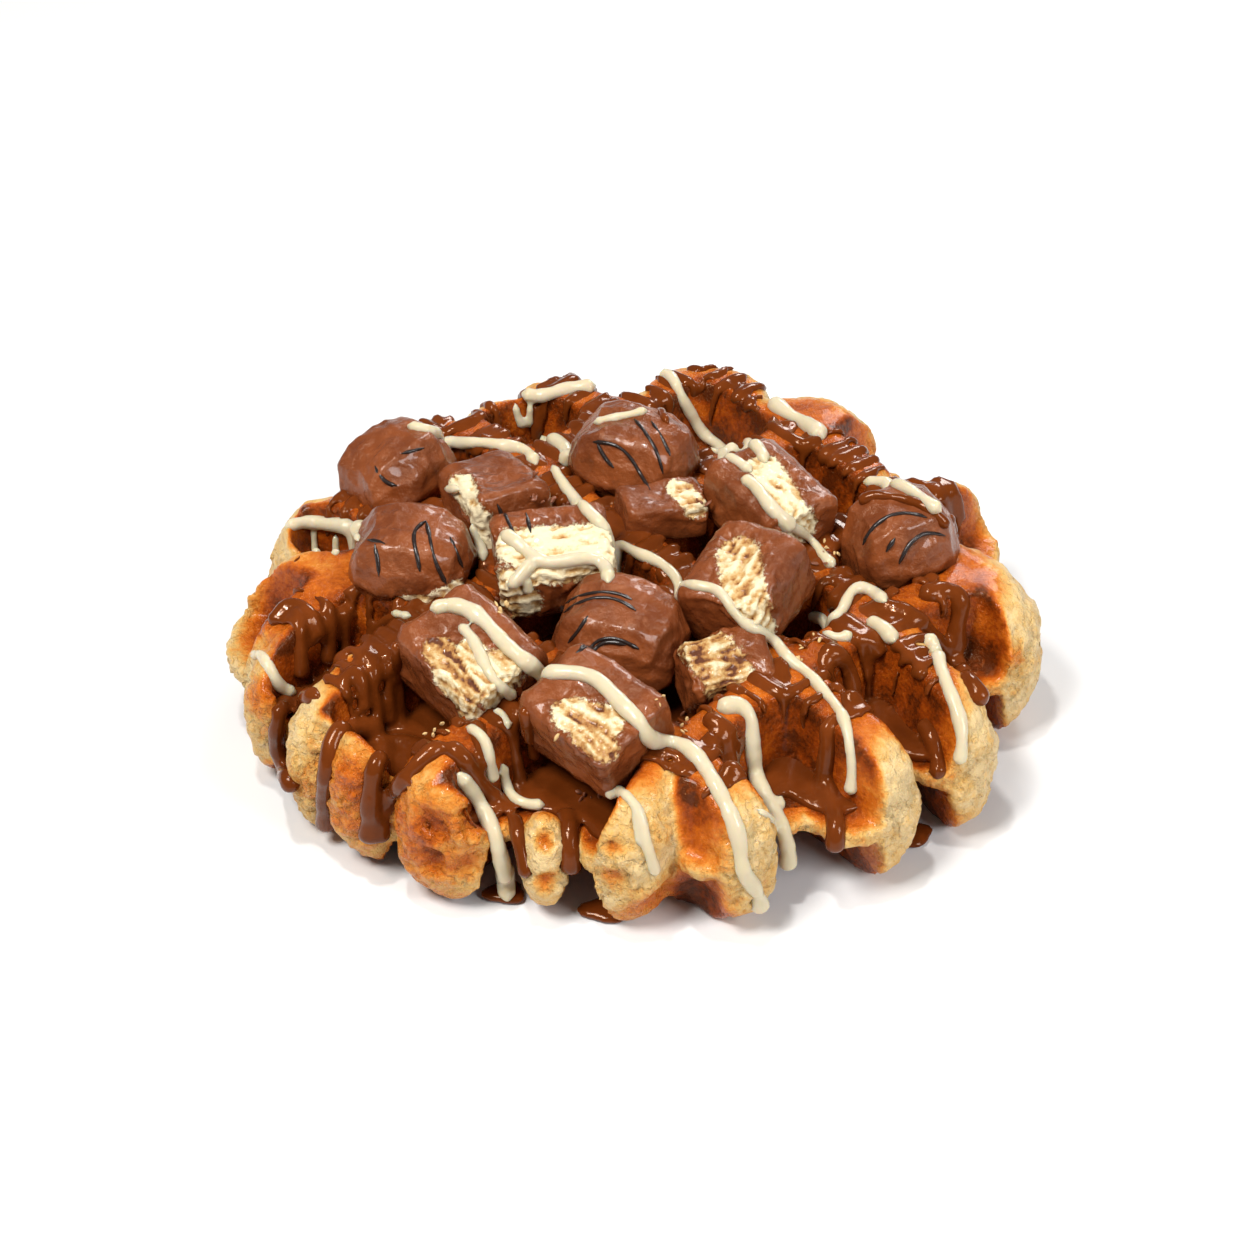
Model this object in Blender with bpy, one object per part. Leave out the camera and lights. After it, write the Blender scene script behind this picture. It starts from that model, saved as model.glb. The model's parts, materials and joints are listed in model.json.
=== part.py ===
"""A round Liege waffle with chopped pieces of a coated wafer bar and thick chocolate drizzle.

Sizes are in millimetres and become metres when a mesh is made. +Z is up and the waffle rests on
z = 0. The plan is drawn about the middle of the round, and the finished object is then moved so
that the origin lies under the middle of its box. The ridges are two families: the rows run to
the back right, and the columns run to the front right.
"""
import math

import bmesh
import bpy
from mathutils import Euler, Matrix, Vector, noise
from mathutils.bvhtree import BVHTree
from mathutils.geometry import intersect_line_line_2d

MM = 0.001
# the middle of the whole object's box, in the plan
BOX_MIDDLE = Vector((-0.1, 2.2, 0.0))

# colour in linear light, roughness
DOUGH = ((0.55, 0.27, 0.075), 0.7)
BAR_COATING = ((0.17, 0.065, 0.028), 0.4)

# the dough
THICKNESS = 29.0
DROOP = 1.8
MEAN_RADIUS = 66.0
SIDE_ROUND = 10.0
UNDER_ROUND = 8.0
SIDE_POWER = 2.5
OUTLINE_STEPS = 108
SIDE_LEVELS = 8
NECK_RADIUS = 59.0
LOBE_BLEND = 4.0
# azimuth in degrees, reach from the middle, half width in degrees
LOBES = (
    (186, 72.0, 11), (200, 71.0, 7), (214, 70.0, 6.5), (224, 68.5, 6),
    (239, 67.5, 8.5), (268, 64.5, 7), (284, 66.5, 8), (308, 68.5, 9.5),
    (327, 71.0, 8), (355, 71.5, 13), (20, 70.5, 8), (39, 65.0, 7),
    (54, 69.5, 11), (76, 71.5, 12), (104, 67.0, 9), (118, 64.0, 7),
    (134, 66.5, 9), (164, 68.5, 8.5),
)

# the iron's pegs, which leave the pockets and the web between them
WEB_LOW = 12.5
WEB_HIGH = 16.0
CREST_HALF_WIDTH = 3.3
DRAFT = math.tan(math.radians(11))
PEG_OVERRUN = 3.0
CORNER_CUT = 3.0
CORNER_SHARE = 0.4
CORNER_BOW = 0.3
# where the rows of ridges meet the columns, at the height of the crests; the first and last
# of each row, and the first and last row, lie at or beyond the free edge
CROSSINGS = (
    ((-84, -4), (-67, 9), (-62, 25), (-35, 46.5), (-18, 59), (-2, 78), None),
    ((-69, -27), (-50.5, -1.5), (-37.5, 12), (-19, 29.5), (-3, 46), (12.5, 63.5), None),
    ((-57, -37), (-32, -12), (-20, -1), (-4.5, 11.5), (14, 27), (31.5, 42.5), (48, 59)),
    ((-38, -55), (-12.5, -29), None, (11, -6), (28, 2.5), (48.5, 20), (68, 37)),
    ((-6, -72), (6.5, -48), None, (25, -28.5), (42, -13), (61, -0.5), (82, 12)),
    ((8, -84), (25, -68), None, (52, -60), (64, -50), (74, -26), None),
)
# row, first column, last column
POCKETS = (
    (0, 0, 1), (0, 1, 2), (0, 2, 3), (0, 3, 4), (0, 4, 5),
    (1, 0, 1), (1, 1, 2), (1, 2, 3), (1, 3, 4), (1, 4, 5),
    (2, 0, 1), (2, 1, 3), (2, 3, 4), (2, 4, 5), (2, 5, 6),
    (3, 0, 1), (3, 1, 3), (3, 3, 4), (3, 4, 5), (3, 5, 6),
    (4, 0, 1), (4, 1, 3), (4, 3, 4), (4, 4, 5),
)
# a small ridge end that stands alone in an open pocket: place, half sizes
SMALL_LOBE = ((-15.2, -56.0, 11.0), (4.2, 5.5, 9.6))

# the pieces of bar: shape, place of the middle, length, width, height, then roll, pitch, yaw
PIECES = {
    "bar_piece_01": ("dome", (-43.5, 25.5, 30.5), (21, 18, 12.5), (-8, -14, 38)),
    "bar_piece_02": ("dome", (-38.4, -2.0, 32.0), (22, 19, 13.5), (4, 6, -12)),
    "bar_piece_03": ("block", (-24.5, 13.0, 31.5), (17, 15, 13), (0, 10, 118)),
    "bar_piece_04": ("block", (-14.2, -3.6, 31.8), (20, 17, 13), (8, -4, 8)),
    "bar_piece_05": ("block", (-27.0, -29.0, 29.6), (21, 18, 14), (12, 8, -48)),
    "bar_piece_06": ("dome", (-2.5, -20.0, 30.2), (23, 19, 13.5), (6, 4, -20)),
    "bar_piece_07": ("block", (-6.5, -44.0, 30.0), (20, 17, 13.5), (16, 6, -42)),
    "bar_piece_08": ("block", (14.5, -27.0, 27.0), (15, 11, 11), (30, 0, 20)),
    "bar_piece_09": ("block", (18.5, -12.5, 32.4), (19, 17, 13.5), (-6, -10, 60)),
    "bar_piece_10": ("block", (23.5, 12.0, 32.0), (20, 16, 13), (0, 6, -55)),
    "bar_piece_11": ("dome", (0.0, 28.0, 32.0), (24, 19, 14), (0, 4, -25)),
    "bar_piece_12": ("dome", (46.0, 5.0, 31.0), (20, 18, 14), (0, -4, 20)),
    "bar_piece_13": ("block", (4.5, 13.0, 30.0), (15, 9, 8), (0, 4, 15)),
}
GAP = 0.3
EDGE_SOFTNESS = 5.0
CHIP_DEPTH = 0.7
CHIP_SIZE = 5.0
CHIP_SHIFTS = (Vector((0, 0, 0)), Vector((31, 0, 17)), Vector((0, 43, 29)))

# the eye from which the drizzle routes are read: it looks along +Y and down at the waffle
EYE_AIM = Vector((-1.5, -18.5, 29.0))
EYE_FALL = math.radians(39)
EYE_DISTANCE = 500.0
PICTURE_SIDE = 1254
EYE_SCALE = PICTURE_SIDE * 85 / 36
# thick drizzle, each route as (across, down) in that square picture
WHITE_DRIZZLE = (
    ((455, 595), (490, 620), (520, 650), (545, 665), (565, 668), (600, 690), (625, 720),
     (643, 738), (680, 745), (700, 755), (720, 775), (735, 810), (748, 850), (760, 880),
     (765, 905)),
    ((552, 470), (575, 500), (610, 535), (640, 555), (665, 560), (700, 585), (715, 590),
     (730, 610), (760, 640), (785, 655), (795, 668), (820, 680), (840, 705), (855, 740),
     (862, 775)),
    ((400, 425), (450, 430), (475, 440), (500, 450), (520, 445), (545, 455), (550, 470)),
    ((735, 700), (748, 705), (755, 740), (760, 780), (775, 800), (790, 815), (795, 850), (800, 868)),
    ((500, 690), (510, 720), (515, 745), (518, 775)),
    ((458, 774), (476, 796), (493, 821), (503, 846), (506, 879), (507, 900)),
    ((606, 796), (618, 788), (633, 796), (640, 813), (646, 837), (653, 859), (656, 876)),
    ((923, 632), (937, 655), (946, 683), (956, 716), (961, 741), (964, 766)),
    ((670, 371), (681, 386), (691, 406), (698, 431), (715, 443), (731, 448)),
    ((741, 475), (753, 483), (768, 510), (786, 528), (798, 543), (809, 533), (817, 546),
     (819, 559), (834, 566)),
    ((768, 401), (784, 411), (806, 426), (826, 439)),
    ((862, 482), (890, 482), (915, 490), (930, 505), (945, 520)),
    ((262, 545), (300, 515), (345, 518), (365, 522)),
    ((510, 400), (530, 390), (560, 395), (600, 388)),
)
MILK_DRIZZLE = (
    ((313, 699), (295, 694), (281, 706), (276, 722), (280, 756), (290, 785)),
    ((379, 732), (353, 724), (336, 732), (329, 756), (323, 789), (325, 818)),
    ((443, 745), (410, 750), (390, 752), (378, 775), (370, 800), (370, 842)),
    ((443, 745), (460, 760), (476, 776), (493, 793), (504, 806)),
    ((703, 720), (719, 725), (726, 746), (731, 780)),
    ((828, 790), (833, 815), (834, 850)),
    ((818, 651), (836, 648), (846, 666), (848, 691)),
    ((921, 729), (929, 741), (937, 757), (939, 779)),
    ((923, 596), (944, 587), (958, 599), (953, 619), (956, 652)),
)
WHITE_RADIUS = 1.9
MILK_RADIUS = 1.8
DRIZZLE_SIDES = 6
DRIZZLE_STEP = 3.4
DRIZZLE_LIFT = 0.3
LONGEST_LEAP = 9.0
SHORTEST_RUN = 6.0
SMOOTH_ANGLE = math.radians(40)


def outline_radius(azimuth):
    """Reach of the free edge at half height, with a bulge where each ridge ends."""
    total = 0.0
    for centre, reach, half_width in LOBES:
        turn = (math.degrees(azimuth) - centre + 180) % 360 - 180
        near = 1 - (turn / half_width) ** 2
        if near > 0:
            total += ((reach - NECK_RADIUS) * math.sqrt(near)) ** LOBE_BLEND
    return NECK_RADIUS + total ** (1 / LOBE_BLEND)


def side_inset(level):
    """How far the free side lies inside its widest line, at a level from -1 to 1."""
    full = SIDE_ROUND if level > 0 else UNDER_ROUND
    return full * (1 - math.sqrt(max(0.0, 1 - abs(level) ** SIDE_POWER)))


def crest_height(radius):
    """The crests lie a little lower towards the free edge."""
    return THICKNESS - DROOP * (radius / MEAN_RADIUS) ** 3


def mesh_object(name, mesh_points, faces):
    """An object of one closed mesh, from points in millimetres."""
    mesh = bpy.data.meshes.new(name)
    mesh.from_pydata([Vector(point) * MM for point in mesh_points], [], faces)
    work = bmesh.new()
    work.from_mesh(mesh)
    bmesh.ops.recalc_face_normals(work, faces=work.faces)
    bmesh.ops.triangulate(work, faces=work.faces)
    work.to_mesh(mesh)
    work.free()
    piece = bpy.data.objects.new(name, mesh)
    bpy.context.scene.collection.objects.link(piece)
    return piece


def rings_object(name, rings):
    """A closed skin over rings of equally many points, with the two end rings capped."""
    count = len(rings[0])
    points = [point for ring in rings for point in ring]
    faces = [list(range(count)), [len(points) - 1 - step for step in range(count)]]
    for index in range(len(rings) - 1):
        for step in range(count):
            after = (step + 1) % count
            low = index * count
            high = low + count
            faces.append([low + step, low + after, high + after, high + step])
    return mesh_object(name, points, faces)


def dough_blank(grow):
    """The dough before the pockets are pressed: a lobed round with full, puffy sides."""
    rings = []
    for index in range(SIDE_LEVELS + 1):
        level = -math.cos(math.pi * index / SIDE_LEVELS)
        ring = []
        for step in range(OUTLINE_STEPS):
            azimuth = 2 * math.pi * step / OUTLINE_STEPS
            radius = outline_radius(azimuth) - side_inset(level) + grow
            height = crest_height(radius) * (level + 1) / 2 + grow * level
            ring.append((radius * math.cos(azimuth), radius * math.sin(azimuth), height))
        rings.append(ring)
    for share in (0.75, 0.5, 0.25):
        ring = []
        for x, y, _ in rings[SIDE_LEVELS]:
            radius = math.hypot(x, y) * share
            ring.append((x * share, y * share, crest_height(radius) + grow))
        rings.append(ring)
    return rings_object("waffle", rings)


def inset_outline(corners, distance):
    """The four-sided outline moved inwards, then with its corners cut."""
    count = len(corners)
    lines = []
    for index in range(count):
        here = Vector(corners[index])
        along = (Vector(corners[(index + 1) % count]) - here).normalized()
        inward = Vector((-along.y, along.x)) * distance
        lines.append((here + inward, along))
    moved = []
    for index in range(count):
        start, along = lines[index - 1]
        other, across = lines[index]
        reach = 500.0
        meet = intersect_line_line_2d(
            start - along * reach, start + along * reach,
            other - across * reach, other + across * reach)
        moved.append(meet)
    cut = []
    for index in range(count):
        corner = moved[index]
        before = moved[index - 1] - corner
        after = moved[(index + 1) % count] - corner
        reach = min(CORNER_CUT, CORNER_SHARE * before.length, CORNER_SHARE * after.length)
        before.normalize()
        after.normalize()
        cut.append(corner + before * reach)
        cut.append(corner + (before + after) * reach * CORNER_BOW)
        cut.append(corner + after * reach)
    return cut


def pocket_corners(row, first, last):
    """The four crossings round a pocket, anticlockwise seen from above."""
    return (CROSSINGS[row + 1][first], CROSSINGS[row + 1][last],
            CROSSINGS[row][last], CROSSINGS[row][first])


def peg(corners, floor, mouth, grow):
    """A drafted peg of the iron, from the web to beyond the crests."""
    rings = []
    for height in (floor, mouth):
        depth = abs(mouth - height)
        widening = (depth - PEG_OVERRUN) * DRAFT
        outline = inset_outline(corners, CREST_HALF_WIDTH + widening + grow)
        rings.append([(point.x, point.y, height) for point in outline])
    return rings_object("peg", rings)


def boolean(target, tools, operation):
    """One Boolean on a collection of closed tools, applied, with the tools then removed."""
    group = bpy.data.collections.new("tools")
    bpy.context.scene.collection.children.link(group)
    for tool in tools:
        bpy.context.scene.collection.objects.unlink(tool)
        group.objects.link(tool)
    change = target.modifiers.new("boolean", "BOOLEAN")
    change.operation = operation
    change.operand_type = "COLLECTION"
    change.collection = group
    change.solver = "MANIFOLD"
    graph = bpy.context.evaluated_depsgraph_get()
    result = bpy.data.meshes.new_from_object(target.evaluated_get(graph), depsgraph=graph)
    target.modifiers.remove(change)
    target.data = result
    for tool in tools:
        bpy.data.objects.remove(tool)
    bpy.data.collections.remove(group)


def waffle_body(grow=0.0):
    """The blank with every peg of both plates taken out of it; it can be made larger all round."""
    body = dough_blank(grow)
    pegs = []
    for row, first, last in POCKETS:
        corners = pocket_corners(row, first, last)
        pegs.append(peg(corners, WEB_HIGH + grow, THICKNESS + PEG_OVERRUN, grow))
        pegs.append(peg(corners, WEB_LOW - grow, -PEG_OVERRUN, grow))
    boolean(body, pegs, "DIFFERENCE")
    boolean(body, [small_lobe(grow)], "UNION")
    return body


def small_lobe(grow):
    """The ridge end that stands alone at the front, a narrow rounded grain of dough."""
    place, half = SMALL_LOBE
    rings = []
    for index in range(1, 9):
        turn = math.pi * index / 9
        ring = []
        for step in range(12):
            around = 2 * math.pi * step / 12
            spot = (math.sin(turn) * math.cos(around), math.sin(turn) * math.sin(around),
                    -math.cos(turn))
            ring.append([middle + unit * (reach + grow)
                         for middle, unit, reach in zip(place, spot, half)])
        rings.append(ring)
    return rings_object("small_lobe", rings)


def dome_rings(length, width, height):
    """A whole end of the bar: flat below, arched above, and rounded at both ends."""
    rings = []
    for step in range(7):
        along = -math.cos(math.pi * (0.12 + 0.76 * step / 6))
        swell = (1 - abs(along) ** 3.2) ** 0.42
        ring = [(along * length / 2, width / 2 * swell * across, height * (up * swell - 0.45))
                for across, up in ((-0.9, 0.02), (-1.0, 0.32), (-0.93, 0.62), (-0.68, 0.87),
                                   (-0.25, 1.0), (0.25, 1.0), (0.68, 0.87), (0.93, 0.62),
                                   (1.0, 0.32), (0.9, 0.02))]
        rings.append(ring)
    return rings


def block_rings(length, width, height):
    """A cut length of the bar: a box with softened edges and a broken, uneven skin."""
    rings = []
    for along in (-1.0, -0.88, -0.3, 0.3, 0.88, 1.0):
        swell = 0.86 if abs(along) == 1.0 else 1.0
        ring = []
        for step in range(16):
            turn = 2 * math.pi * (step + 0.5) / 16
            across = math.copysign(abs(math.cos(turn)) ** (2 / EDGE_SOFTNESS), math.cos(turn))
            up = math.copysign(abs(math.sin(turn)) ** (2 / EDGE_SOFTNESS), math.sin(turn))
            ring.append((along * length / 2, across * width / 2 * swell, up * height / 2 * swell))
        rings.append(ring)
    return rings


def bar_piece(name, grow=0.0):
    """One chopped piece of bar, uneven all over and turned as it fell."""
    shape, place, size, turn = PIECES[name]
    size = [side + 2 * grow for side in size]
    rings = dome_rings(*size) if shape == "dome" else block_rings(*size)
    piece = rings_object(name, rings)
    for vertex in piece.data.vertices:
        spot = vertex.co / MM / CHIP_SIZE + Vector(place)
        chip = Vector([noise.noise(spot + shift) for shift in CHIP_SHIFTS])
        vertex.co += chip * CHIP_DEPTH * MM
    turned = Euler([math.radians(angle) for angle in turn]).to_matrix().to_4x4()
    piece.data.transform(Matrix.Translation(Vector(place) * MM) @ turned)
    return piece


def keep_largest_body(thing):
    """Drop the loose scraps that a Boolean has left."""
    work = bmesh.new()
    work.from_mesh(thing.data)
    left = set(work.faces)
    bodies = []
    while left:
        front = [left.pop()]
        body = list(front)
        while front:
            for edge in front.pop().edges:
                for face in edge.link_faces:
                    if face in left:
                        left.remove(face)
                        body.append(face)
                        front.append(face)
        bodies.append(body)
    bodies.sort(key=lambda body: sum(face.calc_area() for face in body))
    scraps = [face for body in bodies[:-1] for face in body]
    bmesh.ops.delete(work, geom=scraps, context="FACES")
    work.to_mesh(thing.data)
    work.free()


def surface_of(thing):
    """A search tree over an object's mesh, in millimetres."""
    work = bmesh.new()
    work.from_mesh(thing.data)
    bmesh.ops.scale(work, verts=work.verts, vec=(1 / MM, 1 / MM, 1 / MM))
    tree = BVHTree.FromBMesh(work)
    work.free()
    return tree


def sight_line(across, down):
    """The eye's place and the direction to a point of the square picture."""
    forward = Vector((0, math.cos(EYE_FALL), -math.sin(EYE_FALL)))
    upward = Vector((0, math.sin(EYE_FALL), math.cos(EYE_FALL)))
    side = (across - PICTURE_SIDE / 2) / EYE_SCALE
    rise = (PICTURE_SIDE / 2 - down) / EYE_SCALE
    eye = EYE_AIM - forward * EYE_DISTANCE
    return eye, (forward + upward * rise + Vector((side, 0, 0))).normalized()


def even_steps(points, step):
    """Points along a polyline at even steps."""
    spread = [Vector(points[0])]
    for start, end in zip(points, points[1:]):
        start = Vector(start)
        end = Vector(end)
        count = max(1, round((end - start).length / step))
        for index in range(1, count + 1):
            spread.append(start.lerp(end, index / count))
    return spread


def drizzle_runs(route, surfaces, radius):
    """Where a route lies, as runs of points, each run on one object and clear of the others."""
    picture_step = DRIZZLE_STEP * EYE_SCALE / EYE_DISTANCE
    runs = []
    for point in even_steps(route, picture_step):
        eye, direction = sight_line(*point)
        nearest = None
        for name, surface in surfaces.items():
            hit, normal, _, distance = surface.ray_cast(eye, direction)
            if hit and (nearest is None or distance < nearest[3]):
                nearest = (name, hit, normal, distance)
        if nearest is None:
            runs.append((None, []))
            continue
        name, hit, normal, _ = nearest
        centre = hit + normal * radius * DRIZZLE_LIFT
        centre.z = max(centre.z, radius * 1.05)
        clear = all(other.find_nearest(centre)[3] > radius + GAP * 2
                    for label, other in surfaces.items() if label != name)
        same = runs and runs[-1][0] == name and runs[-1][1]
        close = same and (runs[-1][1][-1] - centre).length < LONGEST_LEAP
        if not clear:
            runs.append((None, []))
        elif close:
            runs[-1][1].append(centre)
        else:
            runs.append((name, [centre]))
    return runs


def drizzle_tube(points, radius):
    """A strand of set chocolate with rounded ends along a run of points."""
    rings = []
    last = len(points) - 1
    for index, centre in enumerate(points):
        ahead = points[min(index + 1, last)] - points[max(index - 1, 0)]
        ahead.normalize()
        aside = ahead.cross(Vector((0, 0, 1)))
        if aside.length < 0.1:
            aside = ahead.cross(Vector((0, 1, 0)))
        aside.normalize()
        above = aside.cross(ahead)
        share = 0.6 if index in (0, last) else 1.0
        ring = []
        for step in range(DRIZZLE_SIDES):
            turn = 2 * math.pi * step / DRIZZLE_SIDES
            ring.append(centre + (aside * math.cos(turn) + above * math.sin(turn)) * radius * share)
        rings.append(ring)
    return rings_object("drizzle", rings)


def drizzle_by_node(surfaces):
    """Every strand of drizzle, gathered by the object that it lies on."""
    strands = {name: [] for name in surfaces}
    for routes, radius in ((WHITE_DRIZZLE, WHITE_RADIUS), (MILK_DRIZZLE, MILK_RADIUS)):
        for route in routes:
            for name, points in drizzle_runs(route, surfaces, radius):
                reach = sum((b - a).length for a, b in zip(points, points[1:]))
                if name and reach > SHORTEST_RUN:
                    strands[name].append(drizzle_tube(points, radius))
    return strands


def finish(thing, looks):
    """Give an object its own material and smooth shading, and move it over the origin."""
    colour, roughness = looks
    material = bpy.data.materials.new(thing.name)
    material.use_nodes = True
    shader = material.node_tree.nodes["Principled BSDF"]
    shader.inputs["Base Color"].default_value = (*colour, 1.0)
    shader.inputs["Roughness"].default_value = roughness
    shader.inputs["Metallic"].default_value = 0.0
    mesh = thing.data
    mesh.name = thing.name
    mesh.materials.clear()
    mesh.materials.append(material)
    mesh.shade_smooth()
    mesh.set_sharp_from_angle(angle=SMOOTH_ANGLE)
    mesh.transform(Matrix.Translation(-BOX_MIDDLE * MM))


def main():
    """Build the waffle, then its pieces of bar, then the drizzle over both."""
    for old in list(bpy.data.objects):
        bpy.data.objects.remove(old)
    nodes = {"waffle": waffle_body()}
    for name in PIECES:
        piece = bar_piece(name)
        cutters = [waffle_body(GAP)]
        cutters += [bar_piece(other, GAP) for other in nodes if other in PIECES]
        boolean(piece, cutters, "DIFFERENCE")
        keep_largest_body(piece)
        nodes[name] = piece
    surfaces = {name: surface_of(thing) for name, thing in nodes.items()}
    for name, strands in drizzle_by_node(surfaces).items():
        if strands:
            boolean(nodes[name], strands, "UNION")
            keep_largest_body(nodes[name])
    for name, thing in nodes.items():
        finish(thing, DOUGH if name == "waffle" else BAR_COATING)


main()
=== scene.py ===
"""A round Liege waffle with chopped coated wafer bar, milk chocolate sauce and white chocolate.

The plan of the waffle is in millimetres about the middle of the round, as the solids have it.
It becomes metres in the frame when a mesh is made. Routes and spots that lie on the surface are
points of a square picture, cast from the eye onto the solids that carry them.
"""
import json
import math
import random

import bmesh
import bpy
import numpy as np
from mathutils import Euler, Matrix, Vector, noise
from mathutils.bvhtree import BVHTree
from mathutils.geometry import intersect_line_line_2d

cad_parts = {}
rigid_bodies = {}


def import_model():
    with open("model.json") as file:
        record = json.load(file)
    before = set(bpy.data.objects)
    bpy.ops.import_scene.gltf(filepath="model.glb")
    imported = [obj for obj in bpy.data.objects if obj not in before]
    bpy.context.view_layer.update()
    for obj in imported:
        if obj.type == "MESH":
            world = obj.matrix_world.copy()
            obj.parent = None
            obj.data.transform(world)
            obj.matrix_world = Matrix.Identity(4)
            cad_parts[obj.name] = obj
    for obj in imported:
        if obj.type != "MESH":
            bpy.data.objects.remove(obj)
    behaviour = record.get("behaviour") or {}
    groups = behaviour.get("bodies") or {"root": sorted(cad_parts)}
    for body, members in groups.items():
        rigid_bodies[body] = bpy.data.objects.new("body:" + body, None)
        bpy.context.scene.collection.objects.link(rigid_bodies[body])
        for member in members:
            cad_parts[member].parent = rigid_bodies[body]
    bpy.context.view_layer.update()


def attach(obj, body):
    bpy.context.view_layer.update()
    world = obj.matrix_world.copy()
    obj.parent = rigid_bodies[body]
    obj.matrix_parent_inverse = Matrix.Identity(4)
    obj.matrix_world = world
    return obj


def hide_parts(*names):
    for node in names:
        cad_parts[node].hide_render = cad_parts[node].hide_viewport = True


bl_info = {
    "name": "Liege waffle",
    "version": (1, 0, 0),
    "blender": (4, 5, 0),
    "location": "3D View > Sidebar > Waffle",
    "description": "Builds the looks of a Liege waffle with chocolate and wafer bar",
    "category": "Object",
}

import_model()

MM = 0.001
BODY = "root"
# the middle of the whole object's box, in the plan
BOX_MIDDLE = Vector((-0.1, 2.2, 0.0))

# the dough
THICKNESS = 29.0
DROOP = 1.8
MEAN_RADIUS = 66.0
SIDE_ROUND = 10.0
UNDER_ROUND = 8.0
SIDE_POWER = 2.5
OUTLINE_STEPS = 240
SIDE_LEVELS = 20
NECK_RADIUS = 59.0
LOBE_BLEND = 4.0
# azimuth in degrees, reach from the middle, half width in degrees
LOBES = (
    (186, 72.0, 11), (200, 71.0, 7), (214, 70.0, 6.5), (224, 68.5, 6),
    (239, 67.5, 8.5), (268, 64.5, 7), (284, 66.5, 8), (308, 68.5, 9.5),
    (327, 71.0, 8), (355, 71.5, 13), (20, 70.5, 8), (39, 65.0, 7),
    (54, 69.5, 11), (76, 71.5, 12), (104, 67.0, 9), (118, 64.0, 7),
    (134, 66.5, 9), (164, 68.5, 8.5),
)
WEB_LOW = 12.5
WEB_HIGH = 16.0
CREST_HALF_WIDTH = 3.3
DRAFT = math.tan(math.radians(11))
PEG_OVERRUN = 3.0
CORNER_CUT = 3.0
CORNER_SHARE = 0.4
CORNER_BOW = 0.3
# where the rows of ridges meet the columns
CROSSINGS = (
    ((-84, -4), (-67, 9), (-62, 25), (-35, 46.5), (-18, 59), (-2, 78), None),
    ((-69, -27), (-50.5, -1.5), (-37.5, 12), (-19, 29.5), (-3, 46), (12.5, 63.5), None),
    ((-57, -37), (-32, -12), (-20, -1), (-4.5, 11.5), (14, 27), (31.5, 42.5), (48, 59)),
    ((-38, -55), (-12.5, -29), None, (11, -6), (28, 2.5), (48.5, 20), (68, 37)),
    ((-6, -72), (6.5, -48), None, (25, -28.5), (42, -13), (61, -0.5), (82, 12)),
    ((8, -84), (25, -68), None, (52, -60), (64, -50), (74, -26), None),
)
# row, first column, last column
POCKETS = (
    (0, 0, 1), (0, 1, 2), (0, 2, 3), (0, 3, 4), (0, 4, 5),
    (1, 0, 1), (1, 1, 2), (1, 2, 3), (1, 3, 4), (1, 4, 5),
    (2, 0, 1), (2, 1, 3), (2, 3, 4), (2, 4, 5), (2, 5, 6),
    (3, 0, 1), (3, 1, 3), (3, 3, 4), (3, 4, 5), (3, 5, 6),
    (4, 0, 1), (4, 1, 3), (4, 3, 4), (4, 4, 5),
)
# the ridge end that stands alone: its middle, then half its length, width and height
SMALL_LOBE = ((-15.2, -56.0, 11.0), (4.2, 5.5, 9.6))
SMALL_LOBE_RINGS = 16
SMALL_LOBE_STEPS = 24

# the pieces of bar: shape, place of the middle, length, width, height, then roll, pitch, yaw
PIECES = {
    "bar_piece_01": ("dome", (-43.5, 25.5, 30.5), (21, 18, 12.5), (-8, -14, 38)),
    "bar_piece_02": ("dome", (-38.4, -2.0, 32.0), (22, 19, 13.5), (4, 6, -12)),
    "bar_piece_03": ("block", (-24.5, 13.0, 31.5), (17, 15, 13), (0, 10, 118)),
    "bar_piece_04": ("block", (-14.2, -3.6, 31.8), (20, 17, 13), (8, -4, 8)),
    "bar_piece_05": ("block", (-27.0, -29.0, 29.6), (21, 18, 14), (12, 8, -48)),
    "bar_piece_06": ("dome", (-2.5, -20.0, 30.2), (23, 19, 13.5), (6, 4, -20)),
    "bar_piece_07": ("block", (-6.5, -44.0, 30.0), (20, 17, 13.5), (16, 6, -42)),
    "bar_piece_08": ("block", (14.5, -27.0, 27.0), (15, 11, 11), (30, 0, 20)),
    "bar_piece_09": ("block", (18.5, -12.5, 32.4), (19, 17, 13.5), (-6, -10, 60)),
    "bar_piece_10": ("block", (23.5, 12.0, 32.0), (20, 16, 13), (0, 6, -55)),
    "bar_piece_11": ("dome", (0.0, 28.0, 32.0), (24, 19, 14), (0, 4, -25)),
    "bar_piece_12": ("dome", (46.0, 5.0, 31.0), (20, 18, 14), (0, -4, 20)),
    "bar_piece_13": ("block", (4.5, 13.0, 30.0), (15, 9, 8), (0, 4, 15)),
}
# an arched end's section from foot to foot, as shares of its half width and of its height, then
# how its sections follow each other from tip to tip
DOME_SECTION = (
    (-0.9, 0.02), (-1.0, 0.32), (-0.93, 0.62), (-0.68, 0.87), (-0.25, 1.0),
    (0.25, 1.0), (0.68, 0.87), (0.93, 0.62), (1.0, 0.32), (0.9, 0.02),
)
DOME_RINGS = 7
DOME_TIP = 0.12
DOME_FULLNESS = 3.2
DOME_ROUNDING = 0.42
DOME_FOOT = 0.45
# a cut length's sections, as shares of its half length
BLOCK_RINGS = (-1.0, -0.88, -0.3, 0.3, 0.88, 1.0)
BLOCK_STEPS = 16
BLOCK_END = 0.86
EDGE_SOFTNESS = 5.0
CHIP_DEPTH = 0.7
CHIP_SIZE = 5.0
CHIP_SHIFTS = (Vector((0, 0, 0)), Vector((31, 0, 17)), Vector((0, 43, 29)))
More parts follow.
